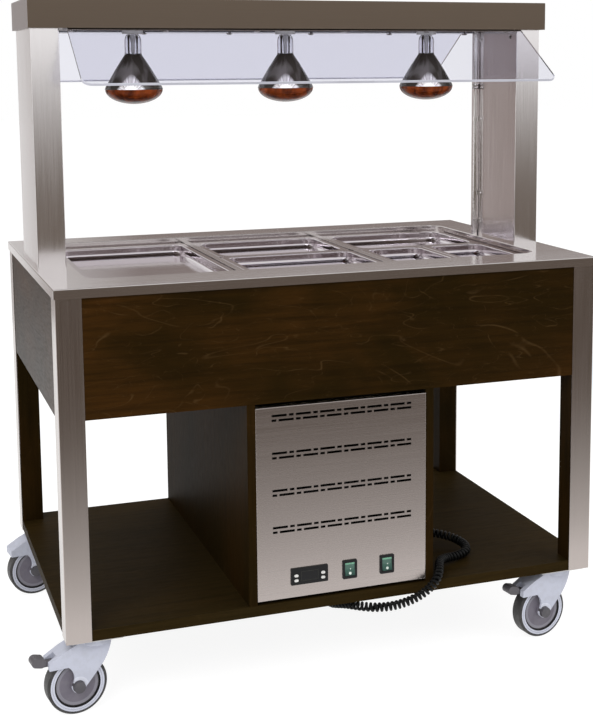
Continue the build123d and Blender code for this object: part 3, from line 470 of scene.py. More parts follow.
@dataclass(frozen=True)
class PaintedLampReflections:
    """Painted reflections on a lamp's cone: dark round its sides, pale fans that rise from the rim,
    a white painted highlight at each fan's foot.
    """

    name: str
    rim: float
    spacing: float
    height: float = 0.075
    # The painted fans and highlight are centred on this bearing round each lamp, towards the
    # camera.
    facing: float = math.radians(-107.0)
    fans: float = 3.0
    fan_height: float = 0.42
    fan_root: float = 0.2
    fan_rays: float = 2.2
    streak_rise: float = 0.7
    # Colours of the painted reflections: the pale fans, the grey between them, the dark round the
    # cone.
    painted_pale_reflection: Colour = (0.90, 0.88, 0.90)
    dull: Colour = (0.30, 0.28, 0.285)
    painted_dark_reflection: Colour = (0.040, 0.034, 0.030)

    def material(self) -> bpy.types.Material:
        """Make the material.

        Returns:
            Non-metal gloss coloured with painted reflections: dark round the cone, a streaked pale
            fan on each third turned towards the camera, and a white painted highlight where each
            fan meets the rim.
        """
        graph = Coating(self.name)
        x, y, z = graph.split(graph.place())
        across = graph.reckon("WRAP", x, self.spacing / 2, -self.spacing / 2)
        angle = graph.reckon("SUBTRACT", graph.reckon("ARCTAN2", y, across), self.facing)
        turn = graph.reckon("MULTIPLY", angle, self.fans)
        up = graph.reckon("DIVIDE", graph.reckon("SUBTRACT", z, self.rim), self.height)
        arch = graph.reckon("MULTIPLY", graph.reckon("COSINE", turn), self.fan_height)
        dome = graph.reckon("SUBTRACT", arch, up)
        ray = graph.reckon("DIVIDE", graph.reckon("SINE", turn),
                           graph.reckon("ADD", up, self.fan_root))
        rays = graph.noise(graph.join(ray), self.fan_rays, detail=2.0)
        around = graph.join(graph.reckon("COSINE", angle), graph.reckon("SINE", angle),
                            graph.reckon("MULTIPLY", up, self.streak_rise))
        clouds = graph.noise(around, 1.5, detail=2.0, swirl=0.6)
        # Painted dark reflection round the cone, pale painted reflection fans, and a white painted
        # highlight at each fan's foot.
        dark = graph.mix(graph.spread(clouds, (0.50, 0.68), (0.0, 0.4)), self.painted_dark_reflection, self.dull)
        pale = graph.mix(graph.spread(rays, (0.38, 0.62)), self.dull, self.painted_pale_reflection)
        fanned = graph.mix(graph.spread(dome, (-0.02, 0.12)), dark, pale)
        painted_highlight = graph.mix(graph.spread(dome, (0.27, 0.35)), fanned, WHITE)
        graph.dress(base_color=painted_highlight, roughness=0.10, specular_ior_level=0.4)
        return graph.material


@dataclass(frozen=True)
class LampLens:
    """Amber lens of a lamp, deeper where its flutes are thick."""

    name: str
    amber: Colour = (0.21, 0.042, 0.009)
    ember: Colour = (0.060, 0.012, 0.004)
    flutes: Point = (60.0, 60.0, 9.0)
    flute_depth: float = 0.0006

    def material(self) -> bpy.types.Material:
        """Make the material.

        Returns:
            Stained glass with a soft gloss.
        """
        graph = Coating(self.name)
        flutes = graph.noise(graph.place(self.flutes), detail=2.0, swirl=0.4)
        glow = graph.mix(graph.spread(flutes, (0.35, 0.65)), self.ember, self.amber)
        graph.dress(base_color=glow, roughness=0.12, specular_ior_level=0.12)
        graph.bump(flutes, 0.3, self.flute_depth)
        return graph.material


@dataclass(frozen=True)
class Moulded:
    """Moulded plastic, rubber or ceramic with a fine eggshell grain."""

    name: str
    colour: Colour
    roughness: float
    pebble: float = 700.0
    depth: float = 0.00008
    coat: float = 0.0
    gloss: float = 0.5
    uneven: float = 0.06
    drift: float = 14.0
    tones: Pair = (0.88, 1.1)

    def material(self) -> bpy.types.Material:
        """Make the material.

        Returns:
            A moulded finish with a little tone change.
        """
        graph = Coating(self.name)
        grain = graph.noise(graph.place(), self.pebble, detail=2.0)
        drift = graph.noise(graph.place(), self.drift)
        dark, light = (shade(self.colour, tone) for tone in self.tones)
        toned = graph.mix(graph.spread(drift, BULK), dark, light)
        rough = (self.roughness - self.uneven, self.roughness + self.uneven)
        graph.dress(base_color=toned, roughness=graph.spread(grain, BULK, rough),
                    coat_weight=self.coat, coat_roughness=0.08, specular_ior_level=self.gloss)
        graph.bump(grain, 0.25, self.depth)
        return graph.material


@dataclass(frozen=True)
class RockerWithPaintedHighlight:
    """Tinted rocker cap, with a pale painted highlight along the upper lip, darker towards the
    bottom.
    """

    name: str
    low: float
    high: float
    deep: Colour = (0.030, 0.072, 0.060)
    tint: Colour = (0.066, 0.140, 0.110)
    # Pale painted highlight along the upper lip.
    lip: Colour = (0.20, 0.46, 0.31)
    cloud: float = 140.0

    def material(self) -> bpy.types.Material:
        """Make the material.

        Returns:
            Clear-looking plastic in bands by height.
        """
        graph = Coating(self.name)
        height = graph.spread(graph.split(graph.place())[2], (self.low, self.high))
        # Darker towards the bottom, plain tint in the middle, a painted highlight band at the top.
        stops = ((0.1, self.deep), (0.6, self.tint), (0.84, self.tint), (0.9, self.lip))
        cloud = graph.spread(graph.noise(graph.place(), self.cloud), (0.4, 0.7), (0.0, 0.4))
        toned = graph.mix(cloud, graph.steps(height, stops), self.tint)
        graph.dress(base_color=toned, roughness=0.22, specular_ior_level=0.4)
        return graph.material


@dataclass(frozen=True)
class PlainMetal:
    """Cast, drawn or plated metal without a brushed grain."""

    name: str
    colour: Colour
    roughness: float
    pebble: float = 260.0
    stain: float = 40.0
    tarnished: float = 0.35
    tarnish_tone: float = 0.7

    def material(self) -> bpy.types.Material:
        """Make the material.

        Returns:
            Metal with faint tarnish.
        """
        graph = Coating(self.name)
        stain = graph.noise(graph.place(), self.stain, detail=4.0, rough=0.6)
        tarnish = graph.spread(stain, (0.4, 0.75), (0.0, self.tarnished))
        toned = graph.mix(tarnish, self.colour, shade(self.colour, self.tarnish_tone))
        speckle = graph.noise(graph.place(), self.pebble, detail=2.0)
        rough = graph.spread(speckle, BULK, (self.roughness - 0.05, self.roughness + 0.1))
        graph.dress(base_color=toned, metallic=1.0, roughness=rough)
        graph.bump(speckle, 0.12, 0.0001)
        return graph.material


@dataclass(frozen=True)
class AxleBands:
    """Moulded caster piece in rings of colour round its axle."""

    name: str
    axle: Point
    yaw: float
    bands: Bands
    reach: float = 0.0625
    dust: Colour = (0.30, 0.29, 0.29)
    dusted: float = 0.2
    film: float = 60.0
    pebble: float = 600.0

    def material(self) -> bpy.types.Material:
        """Make the material.

        Returns:
            A finish in rings, a little dusty.
        """
        graph = Coating(self.name)
        x, _, z = graph.split(graph.local(self.axle, (0.0, 0.0, self.yaw)))
        squares = graph.reckon("ADD", graph.reckon("MULTIPLY", x, x),
                               graph.reckon("MULTIPLY", z, z))
        share = graph.reckon("DIVIDE", graph.reckon("SQRT", squares), self.reach)
        rings = graph.steps(share, self.bands, sharp=True)
        film = graph.noise(graph.place(), self.film, detail=4.0, rough=0.6)
        dust = graph.spread(film, (0.45, 0.75), (0.0, self.dusted))
        grain = graph.noise(graph.place(), self.pebble, detail=2.0)
        rough = graph.spread(grain, BULK, (0.42, 0.58))
        graph.dress(base_color=graph.mix(dust, rings, self.dust), roughness=rough,
                    specular_ior_level=0.35)
        graph.bump(grain, 0.25, 0.0001)
        return graph.material


def flat(name: str, size: Pair, middle: Point, tip: float = 0.0) -> bpy.types.Object:
    """Lay out a flat rectangle, with its place in its mesh.

    Args:
        name: The rectangle's name.
        size: Its sides.
        middle: Its middle.
        tip: How far it is tipped up about the X axis, in radians.

    Returns:
        The rectangle.
    """
    bpy.ops.object.select_all(action="DESELECT")
    bpy.ops.mesh.primitive_plane_add(size=1.0, location=middle, rotation=(tip, 0.0, 0.0))
    piece = bpy.context.object
    piece.name = piece.data.name = name
    piece.scale = (*size, 1.0)
    bpy.ops.object.transform_apply(location=True, rotation=True, scale=True)
    return piece


def thicken(piece: bpy.types.Object, thickness: float, offset: float) -> None:
    """Give a surface its thickness.

    Args:
        piece: The active piece.
        thickness: Its thickness.
        offset: Which way it grows, from -1 inwards over 0 for both to 1 outwards.
    """
    wall = piece.modifiers.new("wall", "SOLIDIFY")
    wall.thickness, wall.offset = thickness, offset
    bpy.ops.object.modifier_apply(modifier="wall")


def turned(name: str, rings: list[Pair], sides: int = 64, solid: bool = True) -> bpy.types.Object:
    """Turn a piece about the upright axis, drawn out from one ring to the next.

    Args:
        name: The piece's name.
        rings: Radius and height of each ring, in order.
        sides: Faces round it.
        solid: Whether both of its ends are closed.

    Returns:
        The piece, round the origin.
    """
    bpy.ops.object.select_all(action="DESELECT")
    radius, height = rings[0]
    bpy.ops.mesh.primitive_circle_add(vertices=sides, radius=radius, location=(0.0, 0.0, height),
                                      fill_type="NGON" if solid else "NOTHING")
    piece = bpy.context.object
    piece.name = piece.data.name = name
    bpy.ops.object.transform_apply(location=True)
    bpy.ops.object.mode_set(mode="EDIT")
    bpy.ops.mesh.select_all(action="SELECT")
    for (before, low), (after, high) in zip(rings, rings[1:]):
        bpy.ops.mesh.extrude_region_move(TRANSFORM_OT_translate={"value": (0.0, 0.0, high - low)})
        bpy.ops.transform.resize(value=(after / before, after / before, 1.0),
                                 center_override=(0.0, 0.0, high))
    bpy.ops.mesh.select_all(action="SELECT")
    bpy.ops.mesh.normals_make_consistent(inside=False)
    bpy.ops.object.mode_set(mode="OBJECT")
    bpy.ops.object.shade_smooth_by_angle(angle=SMOOTH)
    return piece


def set_out(piece: bpy.types.Object, places: list[Matrix]) -> list[bpy.types.Object]:
    """Put a piece at its places, with a copy that has its own mesh for each after the first.

    Args:
        piece: The piece, round the origin.
        places: Where it goes.

    Returns:
        The piece and its copies.
    """
    pieces = [piece]
    for number in range(1, len(places)):
        copy = piece.copy()
        copy.data = piece.data.copy()
        copy.name = copy.data.name = f"{piece.name}_{number + 1}"
        bpy.context.scene.collection.objects.link(copy)
        pieces.append(copy)
    for one, place in zip(pieces, places):
        one.data.transform(place)
    return pieces


def fit(pieces: list[bpy.types.Object], finish: Finish, body: str = "counter") -> None:
    """Dress pieces and fix them to a body.

    Args:
        pieces: The pieces.
        finish: Their finish.
        body: The body that carries them.
    """
    material = finish.material()
    for piece in pieces:
        piece.data.materials.clear()
        piece.data.materials.append(material)
        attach(piece, body)
        log.info("%s fitted with %s", piece.name, material.name)


@dataclass(frozen=True)
class Card:
    """Dim warm card that only polished surfaces see.

    Attributes:
        name: The card's name.
        middle: Its middle.
        size: Its width and its height or depth.
        upright: Whether it stands.
        fade: Height, or distance in front, where the card is clear and where it is solid.
        tone: Its colour.
        soft: How far in from its two sides it fades.
    """

    name: str
    middle: Point
    size: Pair
    upright: bool
    fade: Pair
    tone: Colour
    soft: float = 1.2

    def build(self) -> None:
        """Stand or lay the card."""
        card = flat(self.name, self.size, self.middle, math.pi / 2 if self.upright else 0.0)
        graph = Coating(self.name)
        graph.tree.nodes.remove(graph.shader)
        spot = graph.split(graph.place())
        faded = graph.spread(spot[2 if self.upright else 1], self.fade)
        aside = graph.reckon("ABSOLUTE", graph.reckon("SUBTRACT", spot[0], self.middle[0]))
        half = self.size[0] / 2
        solid = graph.reckon("MULTIPLY", graph.reckon("POWER", faded, 0.5),
                             graph.spread(aside, (half, half - self.soft)))
        depth = graph.add("ShaderNodeLightPath").outputs["Glossy Depth"]
        solid = graph.reckon("MULTIPLY", solid, graph.reckon("GREATER_THAN", depth, 0.5))
        dim = graph.add("ShaderNodeEmission", {"Color": self.tone, "Strength": 1.0})
        graph.blend(solid, graph.add("ShaderNodeBsdfTransparent"), dim)
        card.data.materials.append(graph.material)
        card.visible_camera = card.visible_diffuse = card.visible_shadow = False


@dataclass(frozen=True)
class Softbox:
    """Square soft light that gloss doesn't show.

    Attributes:
        name: The light's name.
        place: Where it hangs.
        target: What it points at.
        size: Its side.
        power: Its power in watts.
    """

    name: str
    place: Point
    target: Point
    size: float
    power: float

    def build(self) -> None:
        """Hang the light and point it at its target."""
        data = bpy.data.lights.new(self.name, "AREA")
        data.size, data.energy = self.size, self.power
        lamp = bpy.data.objects.new(self.name, data)
        bpy.context.scene.collection.objects.link(lamp)
        lamp.location = self.place
        way = Vector(self.target) - Vector(self.place)
        lamp.rotation_euler = way.to_track_quat("-Z", "Y").to_euler()
        lamp.visible_glossy = False


@dataclass
class Studio:
    """Camera, lights, white surround, dim cards and floor."""

    eye: Point = (-0.9497, -2.9816, 1.3147)
    heading: float = 19.927
    tilt: float = -7.658
    roll: float = -0.313
    lens: float = 67.07
    sensor: float = 36.0
    shift: Pair = (-0.06, -0.16)
    surround: float = 0.62
    dim: Colour = (0.15, 0.122, 0.10)
    behind: Colour = (0.25, 0.205, 0.19)
    floor_side: float = 60.0
    floor_tone: Colour = (0.82, 0.82, 0.82)
    floor_glow: float = 1.25
    floor_share: float = 0.72

    def camera(self) -> None:
        """Place the camera at the photograph's viewing angle."""
        data = bpy.data.cameras.new("camera")
        data.lens, data.sensor_width = self.lens, self.sensor
        data.shift_x, data.shift_y = self.shift
        camera = bpy.data.objects.new("camera", data)
        bpy.context.scene.collection.objects.link(camera)
        look = Euler((math.radians(90 + self.tilt), 0.0, math.radians(-self.heading))).to_matrix()
        level = Matrix.Rotation(math.radians(self.roll), 3, "Z")
        camera.rotation_euler = (look @ level).to_euler()
        camera.location = self.eye
        bpy.context.scene.camera = camera

    def seen(self, graph: Graph) -> Socket:
        """Where a ray comes from the camera, a gloss or a glass.

        Args:
            graph: The node tree that asks.

        Returns:
            1 for those rays and 0 for the rest.
        """
        path = graph.add("ShaderNodeLightPath").outputs
        direct = graph.reckon("MAXIMUM", path["Is Camera Ray"], path["Is Glossy Ray"])
        return graph.reckon("MAXIMUM", direct, path["Is Transmission Ray"])

    def world(self) -> None:
        """White surround for the eye and the gloss, and a plain soft light for the rest."""
        world = bpy.data.worlds.new("studio")
        world.use_nodes = True
        bpy.context.scene.world = world
        graph = Graph(world.node_tree)
        background = graph.tree.nodes["Background"].inputs
        graph.put(background["Color"], WHITE)
        strength = graph.spread(self.seen(graph), (0.0, 1.0), (self.surround, 1.0))
        graph.put(background["Strength"], strength)

    def floor(self) -> None:
        """Pale floor that keeps the counter's soft shadow."""
        floor = flat("studio_floor", (self.floor_side, self.floor_side), (0.0, 0.0, 0.0))
        graph = Coating("studio_floor")
        graph.dress(base_color=self.floor_tone, roughness=0.9, specular_ior_level=0.0)
        glow = graph.add("ShaderNodeEmission", {"Color": WHITE, "Strength": self.floor_glow})
        share = graph.reckon("MULTIPLY", self.seen(graph), self.floor_share)
        graph.blend(share, graph.shader, glow)
        floor.data.materials.append(graph.material)

    def cards(self) -> tuple[Card, ...]:
        """Set out the cards.

        Returns:
            A wall and a floor in front, two walls behind and a ceiling.
        """
        return (
            Card("flag_wall", (0.5, -4.0, 0.70), (16.0, 1.4), True, (1.38, 0.70), self.dim),
            Card("flag_floor", (0.5, -2.3, 0.003), (16.0, 3.4), False, (-0.9, -2.5), self.dim),
            Card("flag_back", (3.6, 4.2, 1.1), (8.6, 2.2), True, (2.1, 1.5), self.behind),
            Card("flag_side", (-5.52, 4.0, 1.5), (8.96, 3.0), True, (3.0, 2.4),
                 shade(self.behind, 1.15), 0.15),
            Card("flag_ceiling", (0.0, 0.75, 3.4), (9.0, 2.5), False, (2.0, 1.0), self.dim),
        )

    def softboxes(self) -> tuple[Softbox, ...]:
        """Set out the lights.

        Returns:
            A key from the left, a fill from the right and a light above.
        """
        return (
            Softbox("key", (-2.6, -3.2, 3.4), (0.0, 0.0, 0.7), size=2.4, power=90.0),
            Softbox("fill", (3.4, -2.4, 2.6), (0.0, 0.0, 0.7), size=2.4, power=45.0),
            Softbox("top", (0.0, 0.6, 4.2), (0.0, 0.0, 0.9), size=2.6, power=60.0),
        )

    def build(self) -> None:
        """Set up the whole studio."""
        bpy.context.scene.view_settings.view_transform = "Standard"
        self.camera()
        self.world()
        self.floor()
        for prop in (*self.cards(), *self.softboxes()):
            prop.build()


@dataclass
class CurlyLead:
    """Mains lead with its curls, from the gland over the shelf's edge to the parked plug."""

    wire: float = 0.0065
    coil_radius: float = 0.00725
    coil_pitch: float = 0.0098
    points_per_curl: int = 14
    lead: float = 0.013
    length: float = 3.0
    axis_steps: int = 24
    wire_steps: int = 3
    rubber: Colour = (0.0045, 0.0045, 0.0045)
    route: tuple[Point, ...] = (
        (0.236, -0.172, 0.22075),
        (0.254, -0.172, 0.22075),
        (0.266, -0.173, 0.220),
        (0.298, -0.180, 0.214),
        (0.334, -0.205, 0.208),
        (0.350, -0.245, 0.202),
        (0.338, -0.281, 0.199),
        (0.306, -0.299, 0.198),
        (0.270, -0.309, 0.201),
        (0.244, -0.335, 0.207),
        (0.229, -0.368, 0.208),
        (0.214, -0.398, 0.199),
        (0.192, -0.410, 0.182),
        (0.161, -0.411, 0.164),
        (0.124, -0.409, 0.153),
        (0.090, -0.405, 0.149),
        (0.060, -0.397, 0.149),
        (0.034, -0.378, 0.149),
        (0.014, -0.350, 0.146),
        (0.001, -0.323, 0.138),
        (-0.004, -0.304, 0.13275),
        (-0.004, -0.286, 0.13275),
    )

    def spline(self, name: str, points: list[Vector], thick: float, steps: int) -> bpy.types.Object:
        """Draw one smooth open line.

        Args:
            name: The curve's name.
            points: Its control points.
            thick: Its radius.
            steps: Steps between points.

        Returns:
            The curve.
        """
        data = bpy.data.curves.new(name, "CURVE")
        data.dimensions = "3D"
        data.resolution_u = steps
        data.bevel_depth = thick
        data.bevel_resolution = 3
        data.use_fill_caps = thick > 0
        line = data.splines.new("NURBS")
        line.points.add(len(points) - 1)
        for spot, point in zip(line.points, points):
            spot.co = (*point, 1.0)
        line.order_u = 3
        line.use_endpoint_u = True
        curve = bpy.data.objects.new(name, data)
        bpy.context.scene.collection.objects.link(curve)
        return curve

    def axis(self) -> list[Vector]:
        """Points along the middle line of the curls.

        Returns:
            The points that the route's smooth line passes.
        """
        route = [Vector(point) for point in self.route]
        curve = self.spline("lead_axis", route, 0.0, self.axis_steps)
        bpy.context.view_layer.update()
        mesh = bpy.data.meshes.new_from_object(curve)
        points = [vertex.co.copy() for vertex in mesh.vertices]
        bpy.data.objects.remove(curve)
        bpy.data.meshes.remove(mesh)
        return points

    def curls(self) -> list[Vector]:
        """Points of the wire round its axis, straight at both ends.

        Returns:
            The wire's control points.
        """
        axis = self.axis()
        places = [0.0]
        for before, after in zip(axis, axis[1:]):
            places.append(places[-1] + (after - before).length)
        begin, finish = self.lead, places[-1] - self.lead
        turns = round((finish - begin) / self.coil_pitch)
        count = turns * self.points_per_curl
        wanted = [0.0, begin / 2]
        wanted += [begin + (finish - begin) * step / count for step in range(count + 1)]
        wanted += [(finish + places[-1]) / 2, places[-1]]
        wire, index = [], 0
        for place in wanted:
            while index < len(axis) - 2 and places[index + 1] < place:
                index += 1
            run = axis[index + 1] - axis[index]
            part = (place - places[index]) / (places[index + 1] - places[index])
            middle = axis[index] + run * part
            forward = run.normalized()
            up = (Vector((0.0, 0.0, 1.0)) - forward * forward.z).normalized()
            curled = min(max((place - begin) / (finish - begin), 0.0), 1.0)
            angle = math.tau * turns * curled
            out = up * math.cos(angle) + forward.cross(up) * math.sin(angle)
            wire.append(middle + out * self.coil_radius)
        return wire

    def build(self) -> bpy.types.Object:
        """Make the lead and put it in the construction's place.

        Returns:
            The lead.
        """
        lead = self.spline("curly_lead", self.curls(), self.wire / 2, self.wire_steps)
        rubber = Moulded("lead_rubber", self.rubber, 0.4, 900.0, 0.0001, gloss=0.16)
        lead.data.materials.append(rubber.material())
        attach(lead, "counter")
        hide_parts("curly_cord")
        return lead


@dataclass
class HeatLamps:
    """Reflector lamps under the beam: silvered cone, amber lens, clear neck, stem and screw cap.

    Heights are measured from the beam's underside. A foot profile gives radius and height above
    the throat, a head profile gives radius and depth below the foot of the cap.
    """

    under: float
    spacing: float = 0.354
    radius: float = 0.0635
    bottom: float = 0.163
    rim: float = 0.131
    throat: float = 0.056
    lens_tip: float = 0.0015
    lens_rings: int = 14
    bead: Profile = ((0.0, 0.0), (0.0005, 0.0006), (0.0005, 0.0018), (-0.0002, 0.0025))
    bend: Profile = ((0.990, 0.35), (0.972, 0.55), (0.942, 0.78))
    shoulder: Pair = (0.90, 0.013)
    belly: float = 0.0012
    cone_rings: int = 8
    neck: float = 0.019
    flare: Pair = (0.0006, 0.004)
    waist: float = 0.7
    neck_parts: tuple[float, ...] = (0.35, 0.7, 0.88, 1.0)
    wall: float = 0.0012
    neck_gap: float = 0.001
    neck_inset: float = 0.0004
    cap: float = 0.0131
    cap_roll: float = 0.001
    cap_foot: float = 0.0105
    cap_height: float = 0.026
    thread: float = 0.0007
    thread_rings: int = 20
    threaded: float = 0.8
    contact: Profile = ((0.8, 0.003), (0.45, 0.001), (0.4, 0.0))
    stem_foot: Profile = ((0.0028, 0.001), (0.0036, 0.006), (0.0048, 0.012), (0.0042, 0.024))
    stem_head: Profile = ((0.0075, 0.004), (0.010, 0.0015))
    wire_foot: Profile = ((0.0014, 0.001), (0.0021, 0.004))
    wire_head: Profile = ((0.0021, 0.012), (0.0028, 0.006), (0.0028, 0.001))
    wire_out: float = 0.0095

    def lens(self) -> bpy.types.Object:
        """Model the bowl below the rim.

        Returns:
            The lens, measured down from the beam.
        """
        deep = self.bottom - self.rim
        rings = [(self.lens_tip, -self.bottom)]
        for step in range(1, self.lens_rings + 1):
            turn = math.radians(90 * step / self.lens_rings)
            rings.append((self.radius * math.sin(turn), -self.rim - deep * math.cos(turn)))
        return turned("lamp_lens", rings)

    def cone(self) -> bpy.types.Object:
        """Model the silvered cone from its rim bead over the shoulder to the throat.

        Returns:
            The cone, measured down from the beam.
        """
        share, rise = self.shoulder
        rings = [(self.radius + out, up - self.rim) for out, up in self.bead]
        for out, up in (*self.bend, (share, 1.0)):
            rings.append((self.radius * out, rise * up - self.rim))
        wide, low, high = self.radius * share, rise - self.rim, -self.throat
        for step in range(1, self.cone_rings + 1):
            part = step / self.cone_rings
            belly = self.belly * math.sin(math.pi * part)
            rings.append((wide + (self.neck - wide) * part + belly, low + (high - low) * part))
        return turned("lamp_cone", rings)

    def neck_tube(self) -> bpy.types.Object:
        """Model the clear neck, flared where it leaves the cone and waisted into the cap.

        Returns:
            The neck, measured down from the beam.
        """
        inwards, upwards = self.flare
        wide, narrow = self.neck - inwards, self.cap - self.neck_inset
        low, high = upwards - self.throat, -self.cap_foot - self.neck_gap
        rings = [(self.neck, -self.throat), (wide, low)]
        for part in self.neck_parts:
            drawn_in = max(0.0, part - self.waist) / (1 - self.waist)
            rings.append((wide + (narrow - wide) * drawn_in ** 2, low + (high - low) * part))
        tube = turned("lamp_neck", rings, solid=False)
        thicken(tube, self.wall, -1.0)
        return tube

    def inner(self, name: str, foot: Profile, head: Profile, sides: int) -> bpy.types.Object:
        """Model a piece that stands in the neck, from the throat to the cap.

        Args:
            name: The piece's name.
            foot: Its foot profile.
            head: Its head profile.
            sides: Faces round it.

        Returns:
            The piece, measured down from the beam.
        """
        rings = [(radius, up - self.throat) for radius, up in foot]
        rings += [(radius, -self.cap_foot - down) for radius, down in head]
        return turned(name, rings, sides)

    def screw_cap(self) -> bpy.types.Object:
        """Model the threaded cap and its contact.

        Returns:
            The cap, measured down from the beam.
        """
        rings = [(self.cap - self.cap_roll, -self.cap_foot)]
        rise = self.cap_height * self.threaded / self.thread_rings
        for step in range(1, self.thread_rings + 1):
            wave = self.thread * math.cos(math.pi * step)
            rings.append((self.cap - self.thread + wave, rise * step - self.cap_foot))
        top = self.cap_height - self.cap_foot
        rings += [(self.cap * share, top - down) for share, down in self.contact]
        return turned("lamp_cap", rings, 40)

    def build(self) -> None:
        """Make the three lamps."""
        row = (-self.spacing, 0.0, self.spacing)
        places = [Matrix.Translation((x, 0.0, self.under)) for x in row]
        aside = [Matrix.Translation((side * self.wire_out, 0.0, 0.0)) for side in (-1, 1)]
        cones = set_out(self.cone(), places)
        # The cones' colour holds painted reflections and a painted highlight.
        fit(cones, PaintedLampReflections("lamp_painted_reflections", self.under - self.rim, self.spacing))
        for cone in cones:
            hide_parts("lamp_bulbs")
        fit(set_out(self.lens(), places), LampLens("lamp_lens"))
        neck_glass = GuardGlass("neck_glass", (0.90, 0.90, 0.93), 1.45)
        fit(set_out(self.neck_tube(), places), neck_glass)
        stem = self.inner("lamp_stem", self.stem_foot, self.stem_head, 32)
        stem_glass = Moulded("stem_glass", (0.80, 0.79, 0.81), 0.15, 300.0, 0.00002)
        fit(set_out(stem, places), stem_glass)
        wire = self.inner("lamp_wire", self.wire_foot, self.wire_head, 16)
        dark_wire = PlainMetal("lead_wire", (0.06, 0.045, 0.04), 0.45)
        fit(set_out(wire, [place @ move for place in places for move in aside]), dark_wire)
        brass = PlainMetal("cap_brass", (0.55, 0.47, 0.34), 0.25)
        fit(set_out(self.screw_cap(), places), brass)


@dataclass
class GuardEdges:
    """Ground edges round the free sides of both guards, that show as a fine pale line."""

    under: float
    half_length: float = 0.522
    bend_y: float = 0.161
    edge_y: float = 0.338
    drop: float = 0.115
    glass: float = 0.005
    corner: float = 0.020
    corner_steps: int = 8
    lap: float = 0.0009
    proud: float = 0.0002

    def strip(self) -> bpy.types.Object:
        """Model the edge flat, as a thin band round three sides of a sheet with two round corners.

        Returns:
            The band in the sheet's own plane, with the sheet's upper side on the X axis.
        """
        high = Vector((self.bend_y, self.under - self.glass / 2))
        low = Vector((self.edge_y, self.under - self.drop))
        deep = (low - high).length
        size = (2 * (self.half_length + self.proud), deep + self.proud)
        band = flat("guard_edge", size, (0.0, -deep / 2, 0.0))
        bpy.ops.object.mode_set(mode="EDIT")
        self.pick(band, lambda spot: spot.y < -deep / 2)
        bpy.ops.mesh.bevel(offset=self.corner, segments=self.corner_steps, affect="VERTICES")
        bpy.ops.mesh.select_all(action="SELECT")
        bpy.ops.mesh.inset(thickness=self.lap)
        bpy.ops.mesh.delete(type="FACE")
        self.pick(band, lambda spot: spot.y > -2 * self.lap)
        bpy.ops.mesh.delete(type="EDGE")
        bpy.ops.object.mode_set(mode="OBJECT")
        thicken(band, self.glass + 2 * self.proud, 0.0)
        return band

    def pick(self, piece: bpy.types.Object, wanted: Callable[[Vector], bool]) -> None:
        """Select the points of a piece that are where they are wanted.

        Args:
            piece: The piece, in edit mode.
            wanted: Says whether a place is wanted.
        """
        bpy.ops.mesh.select_all(action="DESELECT")
        bpy.ops.mesh.select_mode(type="VERT")
        bpy.ops.object.mode_set(mode="OBJECT")
        for vertex in piece.data.vertices:
            vertex.select = wanted(vertex.co)
        bpy.ops.object.mode_set(mode="EDIT")

    def build(self) -> None:
        """Make the front and rear edges."""
        fall = math.atan2(self.drop - self.glass / 2, self.edge_y - self.bend_y)
        place = Matrix.Translation((0.0, self.bend_y, self.under - self.glass / 2))
        about = Matrix.Rotation(math.pi, 4, "Z")
        rear = place @ Matrix.Rotation(-fall, 4, "X") @ about
        ground = Moulded("ground_edge", (0.55, 0.55, 0.62), 0.5, 900.0, 0.00002)
        fit(set_out(self.strip(), [about @ rear, rear]), ground)


